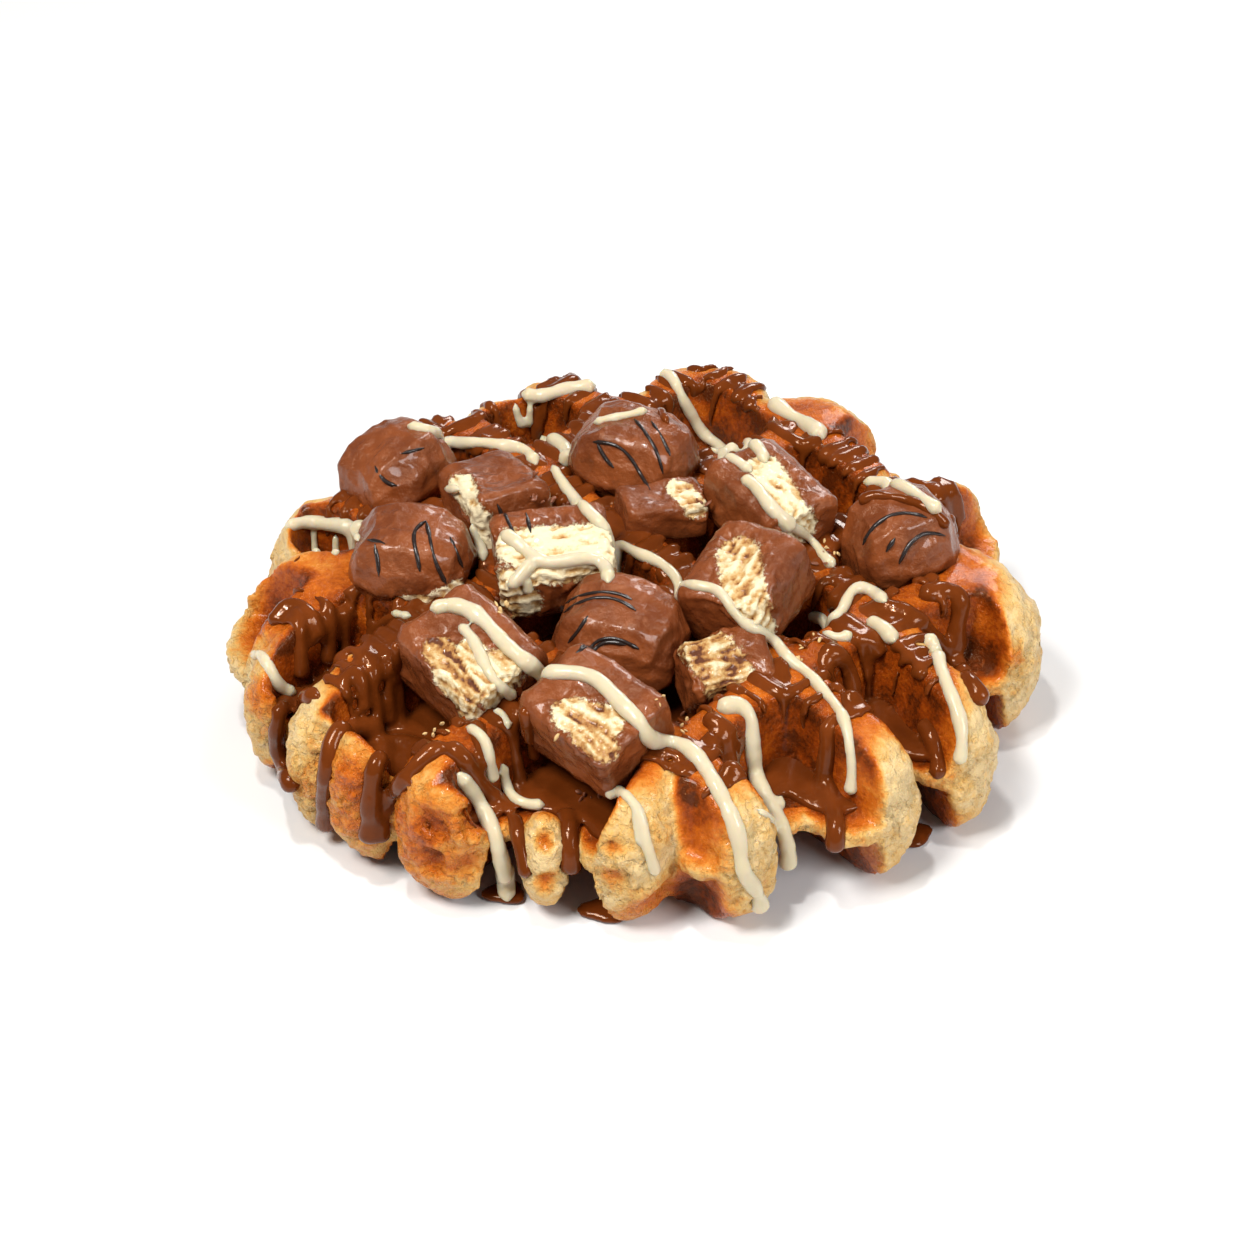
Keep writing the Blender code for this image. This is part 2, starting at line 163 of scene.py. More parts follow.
# where the filling shows on a piece: a line in the picture, its half width in millimetres, and
# how much paler it is
FILLINGS = {
    "bar_piece_02": ((((404, 604), (430, 606), (458, 592)), 2.2, 0.2),),
    "bar_piece_03": ((((458, 486), (472, 514), (489, 550)), 2.8, 0.3),),
    "bar_piece_04": ((((518, 546), (600, 540)), 4.2, 0.3), (((534, 566), (604, 562)), 3.4, 0.2),
                     (((508, 588), (522, 606)), 3.4, 0.05)),
    "bar_piece_05": ((((445, 677), (454, 695), (468, 720)), 2.6, 0.1),
                     (((470, 650), (486, 684), (502, 702)), 2.6, 0.1),
                     (((500, 660), (511, 681)), 2.6, 0.1),
                     (((438, 648), (455, 670), (471, 693)), 2.6, -0.3)),
    "bar_piece_07": ((((571, 713), (605, 722)), 3.2, 0.0), (((585, 735), (603, 748)), 2.4, -0.2)),
    "bar_piece_08": ((((703, 643), (726, 670), (738, 702)), 4.4, -0.16),),
    "bar_piece_09": ((((738, 551), (742, 580), (756, 612), (764, 634)), 3.6, 0.02),),
    "bar_piece_10": ((((764, 466), (782, 493), (802, 530)), 3.0, 0.2),),
    "bar_piece_12": ((((925, 592), (940, 570)), 2.0, 0.2),),
    "bar_piece_13": ((((680, 487), (697, 506)), 2.4, 0.1),),
}
# nearness to the line of a filling is 1 on it and 0.5 at its half width. Over the first of these
# stretches a face turns broken, and over the second the coating round it turns torn
BROKEN_SHARE = (0.42, 0.56)
TORN_SHARE = (0.12, 0.36)
# how strongly the coating of an arched end and of a cut length is folded
DOME_FOLDS = 2.0
BLOCK_FOLDS = 0.9
# thin dark lines over the coating
DARK_LINES = (
    ((426, 521), (410, 529), (414, 544), (418, 556), (420, 572)),
    ((426, 521), (430, 535), (432, 556), (442, 576), (446, 584)),
    ((367, 540), (381, 537), (385, 544)),
    ((375, 544), (379, 558), (379, 576)),
    ((397, 517), (408, 517)),
    ((450, 537), (456, 554), (463, 568)),
    ((375, 466), (379, 478), (391, 490), (397, 486)),
    ((393, 456), (395, 466)),
    ((401, 454), (424, 448)),
    ((564, 613), (575, 604), (593, 597), (611, 597), (625, 602), (636, 611)),
    ((561, 606), (579, 595), (605, 591), (622, 593), (632, 600)),
    ((568, 643), (580, 631), (588, 616)),
    ((579, 650), (593, 641), (611, 635), (625, 641), (639, 649)),
    ((576, 653), (592, 645), (611, 639), (626, 645)),
    ((593, 442), (616, 442), (630, 454), (640, 474), (650, 490)),
    ((597, 442), (603, 458), (614, 468)),
    ((634, 419), (644, 430), (655, 448), (661, 460), (663, 474)),
    ((651, 421), (665, 442), (670, 456)),
    ((679, 458), (686, 469)),
    ((863, 545), (870, 529), (888, 515), (909, 511), (927, 518)),
    ((886, 552), (895, 538)),
    ((899, 564), (904, 550), (916, 534), (932, 529), (945, 536)),
    ((925, 543), (929, 557)),
    ((497, 504), (506, 516), (516, 539)),
    ((526, 513), (531, 533)),
)

# the eye from which routes and spots are read: it looks along +Y and down at the waffle
EYE_AIM = Vector((-1.5, -18.5, 29.0))
EYE_FALL = math.radians(39)
EYE_DISTANCE = 500.0
LENS = 85.0
SENSOR = 36.0
PICTURE_SIDE = 1254
EYE_SCALE = PICTURE_SIDE * LENS / SENSOR
# white strands: their share of the full width, then the route
WHITE_STRANDS = (
    (1.12, ((430, 611), (454, 602), (464, 609), (477, 613), (486, 622), (500, 641), (514, 652),
           (529, 665), (543, 677), (557, 674), (568, 670), (579, 677), (593, 674), (605, 686),
           (618, 702), (632, 715), (645, 724), (642, 741), (650, 743), (667, 742), (681, 743),
           (696, 754), (710, 776), (721, 795), (731, 815), (739, 836), (740, 863), (744, 879),
           (755, 883), (758, 893), (760, 911))),
    (0.85, ((552, 466), (561, 482), (573, 499), (587, 511), (601, 523), (612, 538), (640, 557),
            (654, 559), (665, 564), (677, 580), (695, 589), (716, 586), (727, 600), (739, 619),
            (755, 630), (778, 640), (784, 656), (788, 666), (802, 666), (813, 678), (821, 691),
            (833, 701), (843, 715), (849, 736), (853, 756), (853, 780), (851, 795))),
    (1.15, ((717, 711), (731, 704), (744, 704), (753, 719), (749, 740), (753, 765), (756, 783),
            (767, 797), (774, 810), (783, 829), (790, 851), (787, 870))),
    (0.65, ((756, 810), (765, 813), (774, 820))),
    (0.8, ((781, 795), (779, 804), (776, 812))),
    (0.8, ((459, 625), (471, 636), (479, 649), (487, 674), (500, 688), (516, 699))),
    (0.8, ((466, 727), (480, 729), (487, 741), (489, 763), (493, 784))),
    (0.6, ((493, 711), (502, 709), (507, 720), (509, 730))),
    (0.7, ((502, 763), (504, 781), (509, 797), (522, 806), (545, 805))),
    (1.15, ((457, 773), (471, 788), (483, 810), (495, 835), (503, 865), (508, 902))),
    (0.8, ((605, 795), (614, 790), (624, 792), (635, 801), (639, 811), (644, 828), (646, 845),
           (651, 858), (655, 869), (656, 876))),
    (0.5, ((633, 808), (637, 833), (640, 847))),
    (1.0, ((925, 635), (935, 646), (939, 666), (947, 687), (958, 711), (962, 733), (962, 756),
           (958, 764))),
    (0.9, ((866, 621), (876, 622), (887, 630), (895, 643))),
    (0.85, ((808, 616), (819, 616), (835, 623), (844, 614), (847, 593), (856, 584), (870, 589),
            (886, 603))),
    (0.7, ((822, 632), (833, 641), (845, 643), (853, 633))),
    (0.95, ((654, 377), (670, 371), (679, 391), (693, 419), (704, 437), (720, 446), (732, 451))),
    (0.9, ((712, 450), (724, 455), (738, 462), (752, 473))),
    (0.9, ((743, 442), (755, 442), (764, 451), (766, 464))),
    (1.05, ((741, 479), (752, 479), (762, 497), (771, 511), (787, 524), (793, 530))),
    (0.75, ((786, 524), (798, 530), (810, 534), (817, 545), (821, 559), (835, 568))),
    (1.2, ((770, 402), (782, 412), (796, 421), (814, 428), (824, 440))),
    (0.9, ((863, 483), (883, 481), (911, 490), (925, 502), (941, 513))),
    (0.95, ((407, 427), (432, 431), (452, 444), (473, 444), (485, 440), (503, 450), (522, 446),
            (534, 452), (536, 466))),
    (1.0, ((542, 435), (552, 442), (563, 442), (569, 454))),
    (1.0, ((497, 391), (514, 387), (526, 397), (542, 399), (554, 391), (575, 389), (595, 387))),
    (0.6, ((514, 397), (514, 415), (524, 429))),
    (0.6, ((530, 401), (530, 415), (529, 429))),
    (0.7, ((593, 424), (612, 419), (632, 415), (648, 411))),
    (1.2, ((262, 548), (280, 531), (300, 521), (330, 523), (346, 527), (361, 525))),
    (0.65, ((336, 533), (337, 545), (336, 556))),
    (0.6, ((357, 529), (359, 542))),
    (0.6, ((314, 526), (313, 542), (316, 552))),
    (0.95, ((501, 533), (514, 538), (524, 552), (536, 558), (542, 566), (559, 564), (581, 558),
            (601, 558), (610, 566), (608, 584))),
    (0.85, ((534, 560), (526, 572), (514, 580), (508, 589))),
    (0.7, ((526, 576), (527, 585), (528, 594))),
    (0.8, ((445, 489), (455, 485), (461, 490))),
    (0.8, ((472, 522), (482, 545), (484, 562))),
    (0.6, ((391, 613), (402, 615), (412, 617))),
    (0.8, ((252, 655), (265, 651), (271, 675), (277, 690), (297, 694))),
)
# milk chocolate strands and runs, likewise
MILK_STRANDS = (
    (1.3, ((320, 698), (301, 692), (287, 694), (279, 706), (277, 733), (277, 751), (289, 778),
           (297, 792))),
    (1.4, ((381, 733), (361, 724), (344, 724), (334, 735), (332, 759), (326, 784), (324, 804),
            (328, 827))),
    (1.4, ((422, 751), (403, 741), (387, 743), (377, 753), (373, 773), (369, 804), (371, 843))),
    (1.2, ((446, 745), (430, 753), (410, 773), (389, 796), (381, 820), (377, 841))),
    (1.2, ((446, 745), (461, 755), (475, 778), (491, 794), (499, 804))),
    (1.1, ((271, 627), (283, 608), (297, 602), (312, 610), (316, 641))),
    (1.0, ((297, 608), (299, 640), (301, 680))),
    (1.2, ((326, 600), (328, 630), (326, 667))),
    (1.1, ((340, 604), (344, 630), (344, 661))),
    (0.9, ((412, 618), (399, 616), (381, 618), (371, 635), (366, 655), (364, 668))),
    (0.8, ((372, 650), (374, 690), (377, 722))),
    (0.8, ((385, 646), (388, 690), (389, 727))),
    (0.8, ((397, 640), (399, 690), (400, 733))),
    (0.9, ((340, 688), (350, 672), (358, 668), (362, 684), (363, 714))),
    (1.25, ((819, 656), (827, 650), (841, 654), (849, 664), (851, 682), (851, 707))),
    (1.25, ((876, 607), (902, 609), (923, 627), (943, 648), (960, 670), (974, 689), (984, 707))),
    (0.9, ((851, 642), (866, 635), (878, 642), (880, 658))),
    (0.8, ((894, 642), (907, 656), (921, 662), (924, 682))),
    (1.3, ((919, 599), (937, 591), (956, 589), (964, 597), (960, 611), (953, 627), (956, 656))),
    (1.2, ((921, 720), (931, 729), (939, 748), (941, 768), (937, 780))),
    (1.25, ((827, 719), (831, 744), (823, 780), (831, 805), (837, 825), (835, 852))),
    (1.2, ((701, 724), (712, 717), (721, 724), (726, 740), (728, 765), (733, 781))),
    (1.0, ((513, 815), (520, 835), (524, 860), (528, 880))),
    (1.3, ((564, 812), (570, 835), (572, 855), (571, 874))),
    (0.8, ((858, 504), (870, 495), (893, 497), (920, 504), (938, 515), (948, 529))),
    (0.8, ((927, 479), (943, 497), (950, 515))),
    (0.8, ((948, 481), (961, 506), (959, 524))),
    (0.9, ((475, 720), (480, 745), (484, 770))),
    (0.9, ((509, 717), (514, 745), (520, 784))),
    (0.8, ((524, 705), (530, 735), (534, 762))),
    (0.7, ((655, 395), (660, 412), (668, 425))),
)
# a strand has a point at every step. Over a leap longer than the shortest it is let down onto what
# lies below, at one longer than the longest it ends, and it hangs free no further than the hang
STRAND_STEP = 1.0
SHORTEST_LEAP = 4.0
LONGEST_LEAP = 45.0
LONGEST_HANG = 22.0
# how often its line is eased, and the most points of a run that is too short to keep
STRAND_EASING = 3
SCRAP = 3
# how far its centre line lies above what carries it and above the floor, as shares of its radius
STRAND_LIFT = 0.2
FLOOR_LIFT = 0.8
# its swellings: how strong, how long, and which noise
STRAND_SWELLS = ((0.34, 5.0, 0), (0.16, 1.9, 5))
END_SWELL = 0.22
END_SWELL_LENGTH = 1.3
# higher than any piece
ABOVE_ALL = 60.0
# crests that stay bare of milk chocolate: a spot of the picture and its reach
BARE_SPOTS = (
    ((275, 540), 12), ((262, 600), 8), ((262, 665), 7), ((305, 572), 9), ((345, 560), 6),
    ((330, 725), 6), ((328, 750), 7),
    ((755, 655), 3), ((915, 603), 4), ((1000, 575), 12), ((690, 720), 3), ((735, 715), 3),
    ((860, 770), 9), ((755, 830), 8), ((630, 800), 6), ((975, 690), 8), ((450, 762), 5),
    ((540, 810), 6), ((900, 460), 5), ((850, 430), 8), ((800, 400), 7), ((420, 410), 8),
    ((540, 380), 6), ((1005, 545), 8), ((480, 400), 6),
)
# pools of milk chocolate in pockets: row, first column, last column, height
POOLS = (
    (1, 0, 1, 17.1), (2, 0, 1, 16.9), (3, 0, 1, 17.3), (3, 1, 3, 16.8), (3, 3, 4, 16.9),
    (3, 4, 5, 16.9), (4, 1, 3, 17.2), (4, 3, 4, 17.4), (2, 3, 4, 16.8), (2, 1, 3, 16.8),
    (1, 1, 2, 16.8), (1, 2, 3, 16.8), (1, 3, 4, 16.8), (2, 4, 5, 16.8),
)
# how far a pool stays inside the free edge, how far it runs into the pocket's walls, and how high
# its surface waves
POOL_INSET = 6.0
POOL_OVERLAP = 0.7
POOL_WAVES = 0.5
# a pool's rings from its underside up: share of its outline, and level
POOL_RINGS = ((0.9, -2.2), (1.0, -1.0), (1.0, 0.0), (0.8, -0.1), (0.45, 0.2))
# chocolate that has run onto the surface below: a spot of the picture, half length, half width
PUDDLES = (((605, 910), 4.6, 3.4), ((905, 835), 5.5, 3.2), ((505, 893), 4.0, 3.0))
# the height at which the spot is read, then the puddle's own outline
PUDDLE_HEIGHT = 0.6
PUDDLE_STEPS = 16
PUDDLE_UNEVENNESS = 0.16
# a puddle's rings from its underside up: level, and share of its outline
PUDDLE_RINGS = ((-0.55, 0.8), (0.2, 1.0), (0.8, 0.75), (1.15, 0.3))
# the bands of sauce that run down from the crests: where each lies in its own stretch of ridge,
# half its width, and a power that makes short ones a little more common
BAND_PLACE = (0.25, 0.75)
BAND_HALF_WIDTH = (1.0, 1.5)
BAND_POWER = 1.1
# a stretch of ridge carries sauce to this far on either side
RIDGE_REACH = 9.0
# how unevenly the coat ends on the crests and towards the free edge, over what width it fades
# there, and how far it draws back there and at a bare spot
CREST_UNEVENNESS = 1.8
RIM_UNEVENNESS = 1.6
RIM_FADE = 2.5
RIM_DRAWBACK = 9
SPOT_DRAWBACK = 11
# the coat's skirt beyond its edge, how deep that sinks into the crust, how far inside the edge the
# coat has risen most of the way, and how far its shell reaches in
COAT_SKIRT = 2.2
COAT_SINK = 0.5
COAT_ROUNDING = 0.7
COAT_SHELL = 1.1
# the browning and painted shade, from 0 for pale to 1 for deep: its ground, and what each place adds
# or takes away
GROUND_BROWN = 0.48
# the pockets: real browning from the iron, and painted shade
POCKET_BROWN_AND_SHADE = 0.24
POCKET_CLOUDS = 0.16
SIDE_PALENESS = 0.38
CRUST_CLOUDS = 0.12
CREST_BROWN = 0.23
# the pockets' lower walls and floors: real browning, and painted shade deep down
FLOOR_BROWN_AND_SHADE = 0.24
FOOT_BROWN = 0.2
# how far inside the free edge the pockets' brown and painted shade begin and are full, and where the
# pale side ends
POCKET_FADE = (-2.0, 7.0)
SIDE_FADE = (12.0, 3.5)
# heights between which the crests turn brown, and those between which the side's foot does
CREST_FADE = (THICKNESS - 7, THICKNESS - 2)
FOOT_FADE = (9.0, 1.0)
# the pocket's share rises from 0 this far outside its wall to 1 this far inside
WALL_FADE = (-1.6, 0.4)
# darker and paler patches of crust: a spot of the picture, its reach, and how much browner
PATCHES = (
    ((250, 590), 9, -0.3), ((305, 570), 7, -0.2), ((258, 560), 6, -0.3),
    ((238, 600), 7, -0.35), ((238, 650), 7, -0.35), ((285, 545), 6, -0.2),
    ((272, 622), 4, 0.45), ((262, 700), 5, 0.35),
    ((282, 650), 3, 0.3), ((402, 800), 7, 0.2), ((300, 790), 6, 0.25), ((440, 830), 16, 0.16),
    ((477, 818), 3.4, 0.34), ((432, 826), 3.4, 0.28), ((428, 864), 3.0, 0.24),
    ((470, 866), 3.0, 0.3), ((452, 792), 4.0, -0.12), ((548, 862), 8, -0.3),
    ((546, 842), 2.0, 0.7), ((546, 883), 2.4, 0.7), ((612, 850), 2.0, 0.35),
    ((612, 878), 2.6, 0.45), ((655, 900), 4.5, 0.4), ((708, 900), 4.5, 0.4),
    ((420, 860), 9, 0.25), ((345, 700), 8, -0.15), ((880, 800), 12, -0.12),
    ((1020, 600), 9, -0.15), ((980, 760), 8, -0.1), ((1010, 650), 3, 0.3),
    ((500, 870), 6, 0.25), ((855, 870), 4, 0.25), ((345, 770), 6, 0.28), ((352, 815), 7, 0.35),
)
# hollows that the iron's edge left in the free side: a spot of the picture, reach and depth
PRESSES = (
    ((477, 818), 3.0, 1.6), ((432, 826), 3.0, 1.4), ((428, 864), 2.6, 1.0),
    ((470, 866), 2.6, 1.1), ((546, 842), 1.8, 0.9),
    ((546, 882), 1.8, 0.7), ((612, 850), 1.6, 0.9), ((620, 880), 2.2, 0.8),
    ((318, 735), 1.8, 0.9), ((322, 760), 1.8, 0.9), ((336, 720), 1.4, 0.7),
    ((660, 898), 3.6, 1.1), ((706, 898), 3.6, 1.1),
)
# spots where crumbs gather: a point of the picture and half the patch's side in millimetres
WAFER_CRUMBS = (
    ((436, 731), 2.0), ((836, 548), 2.4), ((796, 653), 2.2), ((683, 727), 2.0), ((650, 745), 1.6),
    ((500, 610), 1.6), ((690, 520), 1.6), ((815, 640), 1.4), ((660, 700), 1.5), ((560, 735), 1.2),
)
CHOCOLATE_CHIPS = (
    ((592, 792), 2.2), ((545, 495), 2.6), ((530, 478), 2.0), ((690, 715), 1.6), ((560, 505), 1.8),
    ((705, 500), 1.6), ((820, 560), 1.6), ((500, 600), 1.4),
)
# how flat the crumbs are, and the most that each is turned about each axis
FLAKE = (1.4, 0.9, 0.5)
WHOLE_TURN = (6.28, 6.28, 6.28)
# a fused skin with more faces than this is thinned
MOST_FACES = 95000


# shapes of the plan, as in the solids

def outline_radius(azimuth):
    """Reach of the free edge at half height, with a bulge where each ridge ends."""
    total = 0.0
    for centre, reach, half_width in LOBES:
        turn = (math.degrees(azimuth) - centre + 180) % 360 - 180
        near = 1 - (turn / half_width) ** 2
        if near > 0:
            total += ((reach - NECK_RADIUS) * math.sqrt(near)) ** LOBE_BLEND
    return NECK_RADIUS + total ** (1 / LOBE_BLEND)


def side_inset(level):
    """How far the free side lies inside its widest line, at a level from -1 to 1."""
    full = SIDE_ROUND if level > 0 else UNDER_ROUND
    return full * (1 - math.sqrt(max(0.0, 1 - abs(level) ** SIDE_POWER)))


def crest_height(radius):
    """The crests lie a little lower towards the free edge."""
    return THICKNESS - DROOP * (radius / MEAN_RADIUS) ** 3


def mesh_object(name, plan, faces):
    """An object of one closed mesh, from points of the plan."""
    mesh = bpy.data.meshes.new(name)
    mesh.from_pydata([(Vector(point) - BOX_MIDDLE) * MM for point in plan], [], faces)
    work = bmesh.new()
    work.from_mesh(mesh)
    bmesh.ops.recalc_face_normals(work, faces=work.faces)
    work.to_mesh(mesh)
    work.free()
    piece = bpy.data.objects.new(name, mesh)
    bpy.context.scene.collection.objects.link(piece)
    return piece


def rings_object(name, rings):
    """A closed skin over rings of equally many points, with the two end rings capped."""
    count = len(rings[0])
    points = [point for ring in rings for point in ring]
    faces = [list(range(count)), [len(points) - 1 - step for step in range(count)]]
    for index in range(len(rings) - 1):
        for step in range(count):
            after = (step + 1) % count
            low = index * count
            high = low + count
            faces.append([low + step, low + after, high + after, high + step])
    return mesh_object(name, points, faces)


def dough_blank():
    """The dough before the pockets are pressed: a lobed round with full, puffy sides."""
    rings = []
    for index in range(SIDE_LEVELS + 1):
        level = -math.cos(math.pi * index / SIDE_LEVELS)
        ring = []
        for step in range(OUTLINE_STEPS):
            azimuth = 2 * math.pi * step / OUTLINE_STEPS
            radius = outline_radius(azimuth) - side_inset(level)
            height = crest_height(radius) * (level + 1) / 2
            ring.append((radius * math.cos(azimuth), radius * math.sin(azimuth), height))
        rings.append(ring)
    for share in (0.75, 0.5, 0.25):
        ring = []
        for x, y, _ in rings[SIDE_LEVELS]:
            radius = math.hypot(x, y) * share
            ring.append((x * share, y * share, crest_height(radius)))
        rings.append(ring)
    return rings_object("dough_blank", rings)


def inset_outline(corners, distance):
    """The four-sided outline moved inwards, then with its corners cut."""
    count = len(corners)
    lines = []
    for index in range(count):
        here = Vector(corners[index])
        along = (Vector(corners[(index + 1) % count]) - here).normalized()
        inward = Vector((-along.y, along.x)) * distance
        lines.append((here + inward, along))
    moved = []
    for index in range(count):
        start, along = lines[index - 1]
        other, across = lines[index]
        reach = 500.0
        meet = intersect_line_line_2d(
            start - along * reach, start + along * reach,
            other - across * reach, other + across * reach)
        moved.append(meet)
    cut = []
    for index in range(count):
        corner = moved[index]
        before = moved[index - 1] - corner
        after = moved[(index + 1) % count] - corner
        reach = min(CORNER_CUT, CORNER_SHARE * before.length, CORNER_SHARE * after.length)
        before.normalize()
        after.normalize()
        cut.append(corner + before * reach)
        cut.append(corner + (before + after) * reach * CORNER_BOW)
        cut.append(corner + after * reach)
    return cut


def pocket_corners(row, first, last):
    """The four crossings round a pocket, anticlockwise seen from above."""
    return (CROSSINGS[row + 1][first], CROSSINGS[row + 1][last],
            CROSSINGS[row][last], CROSSINGS[row][first])


def peg(corners, floor, mouth):
    """A drafted peg of the iron, from the web to beyond the crests."""
    rings = []
    for height in (floor, mouth):
        depth = abs(mouth - height)
        widening = (depth - PEG_OVERRUN) * DRAFT
        outline = inset_outline(corners, CREST_HALF_WIDTH + widening)
        rings.append([(point.x, point.y, height) for point in outline])
    return rings_object("peg", rings)


def boolean(target, tools, operation):
    """One Boolean on a collection of closed tools, applied, with the tools then removed."""
    group = bpy.data.collections.new("tools")
    bpy.context.scene.collection.children.link(group)
    for tool in tools:
        bpy.context.scene.collection.objects.unlink(tool)
        group.objects.link(tool)
    change = target.modifiers.new("boolean", "BOOLEAN")
    change.operation = operation
    change.operand_type = "COLLECTION"
    change.collection = group
    change.solver = "MANIFOLD"
    apply_modifiers(target)
    for tool in tools:
        bpy.data.objects.remove(tool)
    bpy.data.collections.remove(group)


def small_lobe():
    """The ridge end that stands alone at the front, a narrow rounded grain of dough."""
    place, half = SMALL_LOBE
    rings = []
    for index in range(1, SMALL_LOBE_RINGS):
        turn = math.pi * index / SMALL_LOBE_RINGS
        ring = []
        for step in range(SMALL_LOBE_STEPS):
            around = 2 * math.pi * step / SMALL_LOBE_STEPS
            spot = (math.sin(turn) * math.cos(around), math.sin(turn) * math.sin(around),
                    -math.cos(turn))
            ring.append([middle + unit * reach for middle, unit, reach in zip(place, spot, half)])
        rings.append(ring)
    return rings_object("small_lobe", rings)


def dome_rings(length, width, height):
    """A whole end of the bar: flat below, arched above, and rounded at both ends."""
    rings = []
    for step in range(DOME_RINGS):
        along = -math.cos(math.pi * (DOME_TIP + (1 - 2 * DOME_TIP) * step / (DOME_RINGS - 1)))
        swell = (1 - abs(along) ** DOME_FULLNESS) ** DOME_ROUNDING
        ring = []
        for across, up in DOME_SECTION:
            ring.append((along * length / 2, width / 2 * swell * across,
                         height * (up * swell - DOME_FOOT)))
        rings.append(ring)
    return rings


def block_rings(length, width, height):
    """A cut length of the bar: a box with softened edges."""
    rings = []
    for along in BLOCK_RINGS:
        swell = BLOCK_END if abs(along) == 1.0 else 1.0
        ring = []
        for step in range(BLOCK_STEPS):
            turn = 2 * math.pi * (step + 0.5) / BLOCK_STEPS
            across = math.copysign(abs(math.cos(turn)) ** (2 / EDGE_SOFTNESS), math.cos(turn))
            up = math.copysign(abs(math.sin(turn)) ** (2 / EDGE_SOFTNESS), math.sin(turn))
            ring.append((along * length / 2, across * width / 2 * swell, up * height / 2 * swell))
        rings.append(ring)
    return rings


# meshes as arrays, surfaces and sight lines

def apply_modifiers(thing):
    """Turn what the modifiers show into the object's own mesh, and remove them."""
    graph = bpy.context.evaluated_depsgraph_get()
    mesh = bpy.data.meshes.new_from_object(thing.evaluated_get(graph), depsgraph=graph)
    thing.modifiers.clear()
    thing.data = mesh


def plan_points(mesh):
    """The mesh's points in the plan, in millimetres."""
    flat = np.empty(len(mesh.vertices) * 3, np.float32)
    mesh.vertices.foreach_get("co", flat)
    return flat.reshape(-1, 3).astype(float) / MM + np.array(BOX_MIDDLE)


def set_plan_points(mesh, points):
    """Put the mesh's points at these places of the plan."""
    flat = (points - np.array(BOX_MIDDLE)) * MM
    mesh.vertices.foreach_set("co", flat.astype(np.float32).ravel())
    mesh.update()


def point_normals(mesh):
    """The mesh's normals at its points."""
    flat = np.empty(len(mesh.vertices) * 3, np.float32)
    mesh.vertices.foreach_get("normal", flat)
    return flat.reshape(-1, 3).astype(float)


def paint(mesh, name, values):
    """Keep one number for each point, which a material can read."""
    layer = mesh.attributes.get(name) or mesh.attributes.new(name, "FLOAT", "POINT")
    layer.data.foreach_set("value", np.asarray(values, np.float32))


def smoothstep(low, high, values):
    """A soft step from 0 at low to 1 at high."""
    share = np.clip((values - low) / (high - low), 0, 1)
    return share * share * (3 - 2 * share)


def wobble(points, size, shift=0.0):
    """Steady noise from about -1 to 1 at each point, with bumps of one size."""
    return np.array([noise.noise(Vector(point) / size + Vector((shift, -shift, 2 * shift)))
                     for point in points])


def surface_of(*things):
    """A search tree over objects' meshes, in the plan."""
    points = []
    faces = []
    for thing in things:
        start = len(points)
        points.extend(plan_points(thing.data).tolist())
        faces.extend([start + corner for corner in face.vertices] for face in thing.data.polygons)
    return BVHTree.FromPolygons(points, faces)


def sight_line(across, down):
    """The eye's place and the direction to a point of the square picture."""
    forward = Vector((0, math.cos(EYE_FALL), -math.sin(EYE_FALL)))
    upward = Vector((0, math.sin(EYE_FALL), math.cos(EYE_FALL)))
    side = (across - PICTURE_SIDE / 2) / EYE_SCALE
    rise = (PICTURE_SIDE / 2 - down) / EYE_SCALE
    eye = EYE_AIM - forward * EYE_DISTANCE
    return eye, (forward + upward * rise + Vector((side, 0, 0))).normalized()


def spot_on(surface, spot):
    """Where a point of the picture lies on a surface, or None."""
    eye, direction = sight_line(*spot)
    hit, _, _, _ = surface.ray_cast(eye, direction)
    return hit


def even_steps(points, step):
    """Points along a polyline at even steps."""
    spread = [Vector(points[0])]
    for start, end in zip(points, points[1:]):
        start = Vector(start)
        end = Vector(end)
        count = max(1, round((end - start).length / step))
        for index in range(1, count + 1):
            spread.append(start.lerp(end, index / count))
    return spread


def eased(values, rounds):
    """A list of vectors smoothed along its length, with its ends kept."""
    for _ in range(rounds):
        inner = [(before + here * 2 + after) / 4
                 for before, here, after in zip(values, values[1:], values[2:])]
        values = [values[0], *inner, values[-1]]
    return values


def draped(start, end, surface, lift):
    """Points between two others, each let down onto the surface below it."""
    count = round((end - start).length / STRAND_STEP)
    points = []
    for index in range(1, count):
        point = start.lerp(end, index / count)
        hit, _, _, _ = surface.ray_cast(Vector((point.x, point.y, ABOVE_ALL)), Vector((0, 0, -1)))
        point.z = max(lift, min(point.z + 3, hit.z + lift)) if hit else point.z
        points.append(point)
    return points


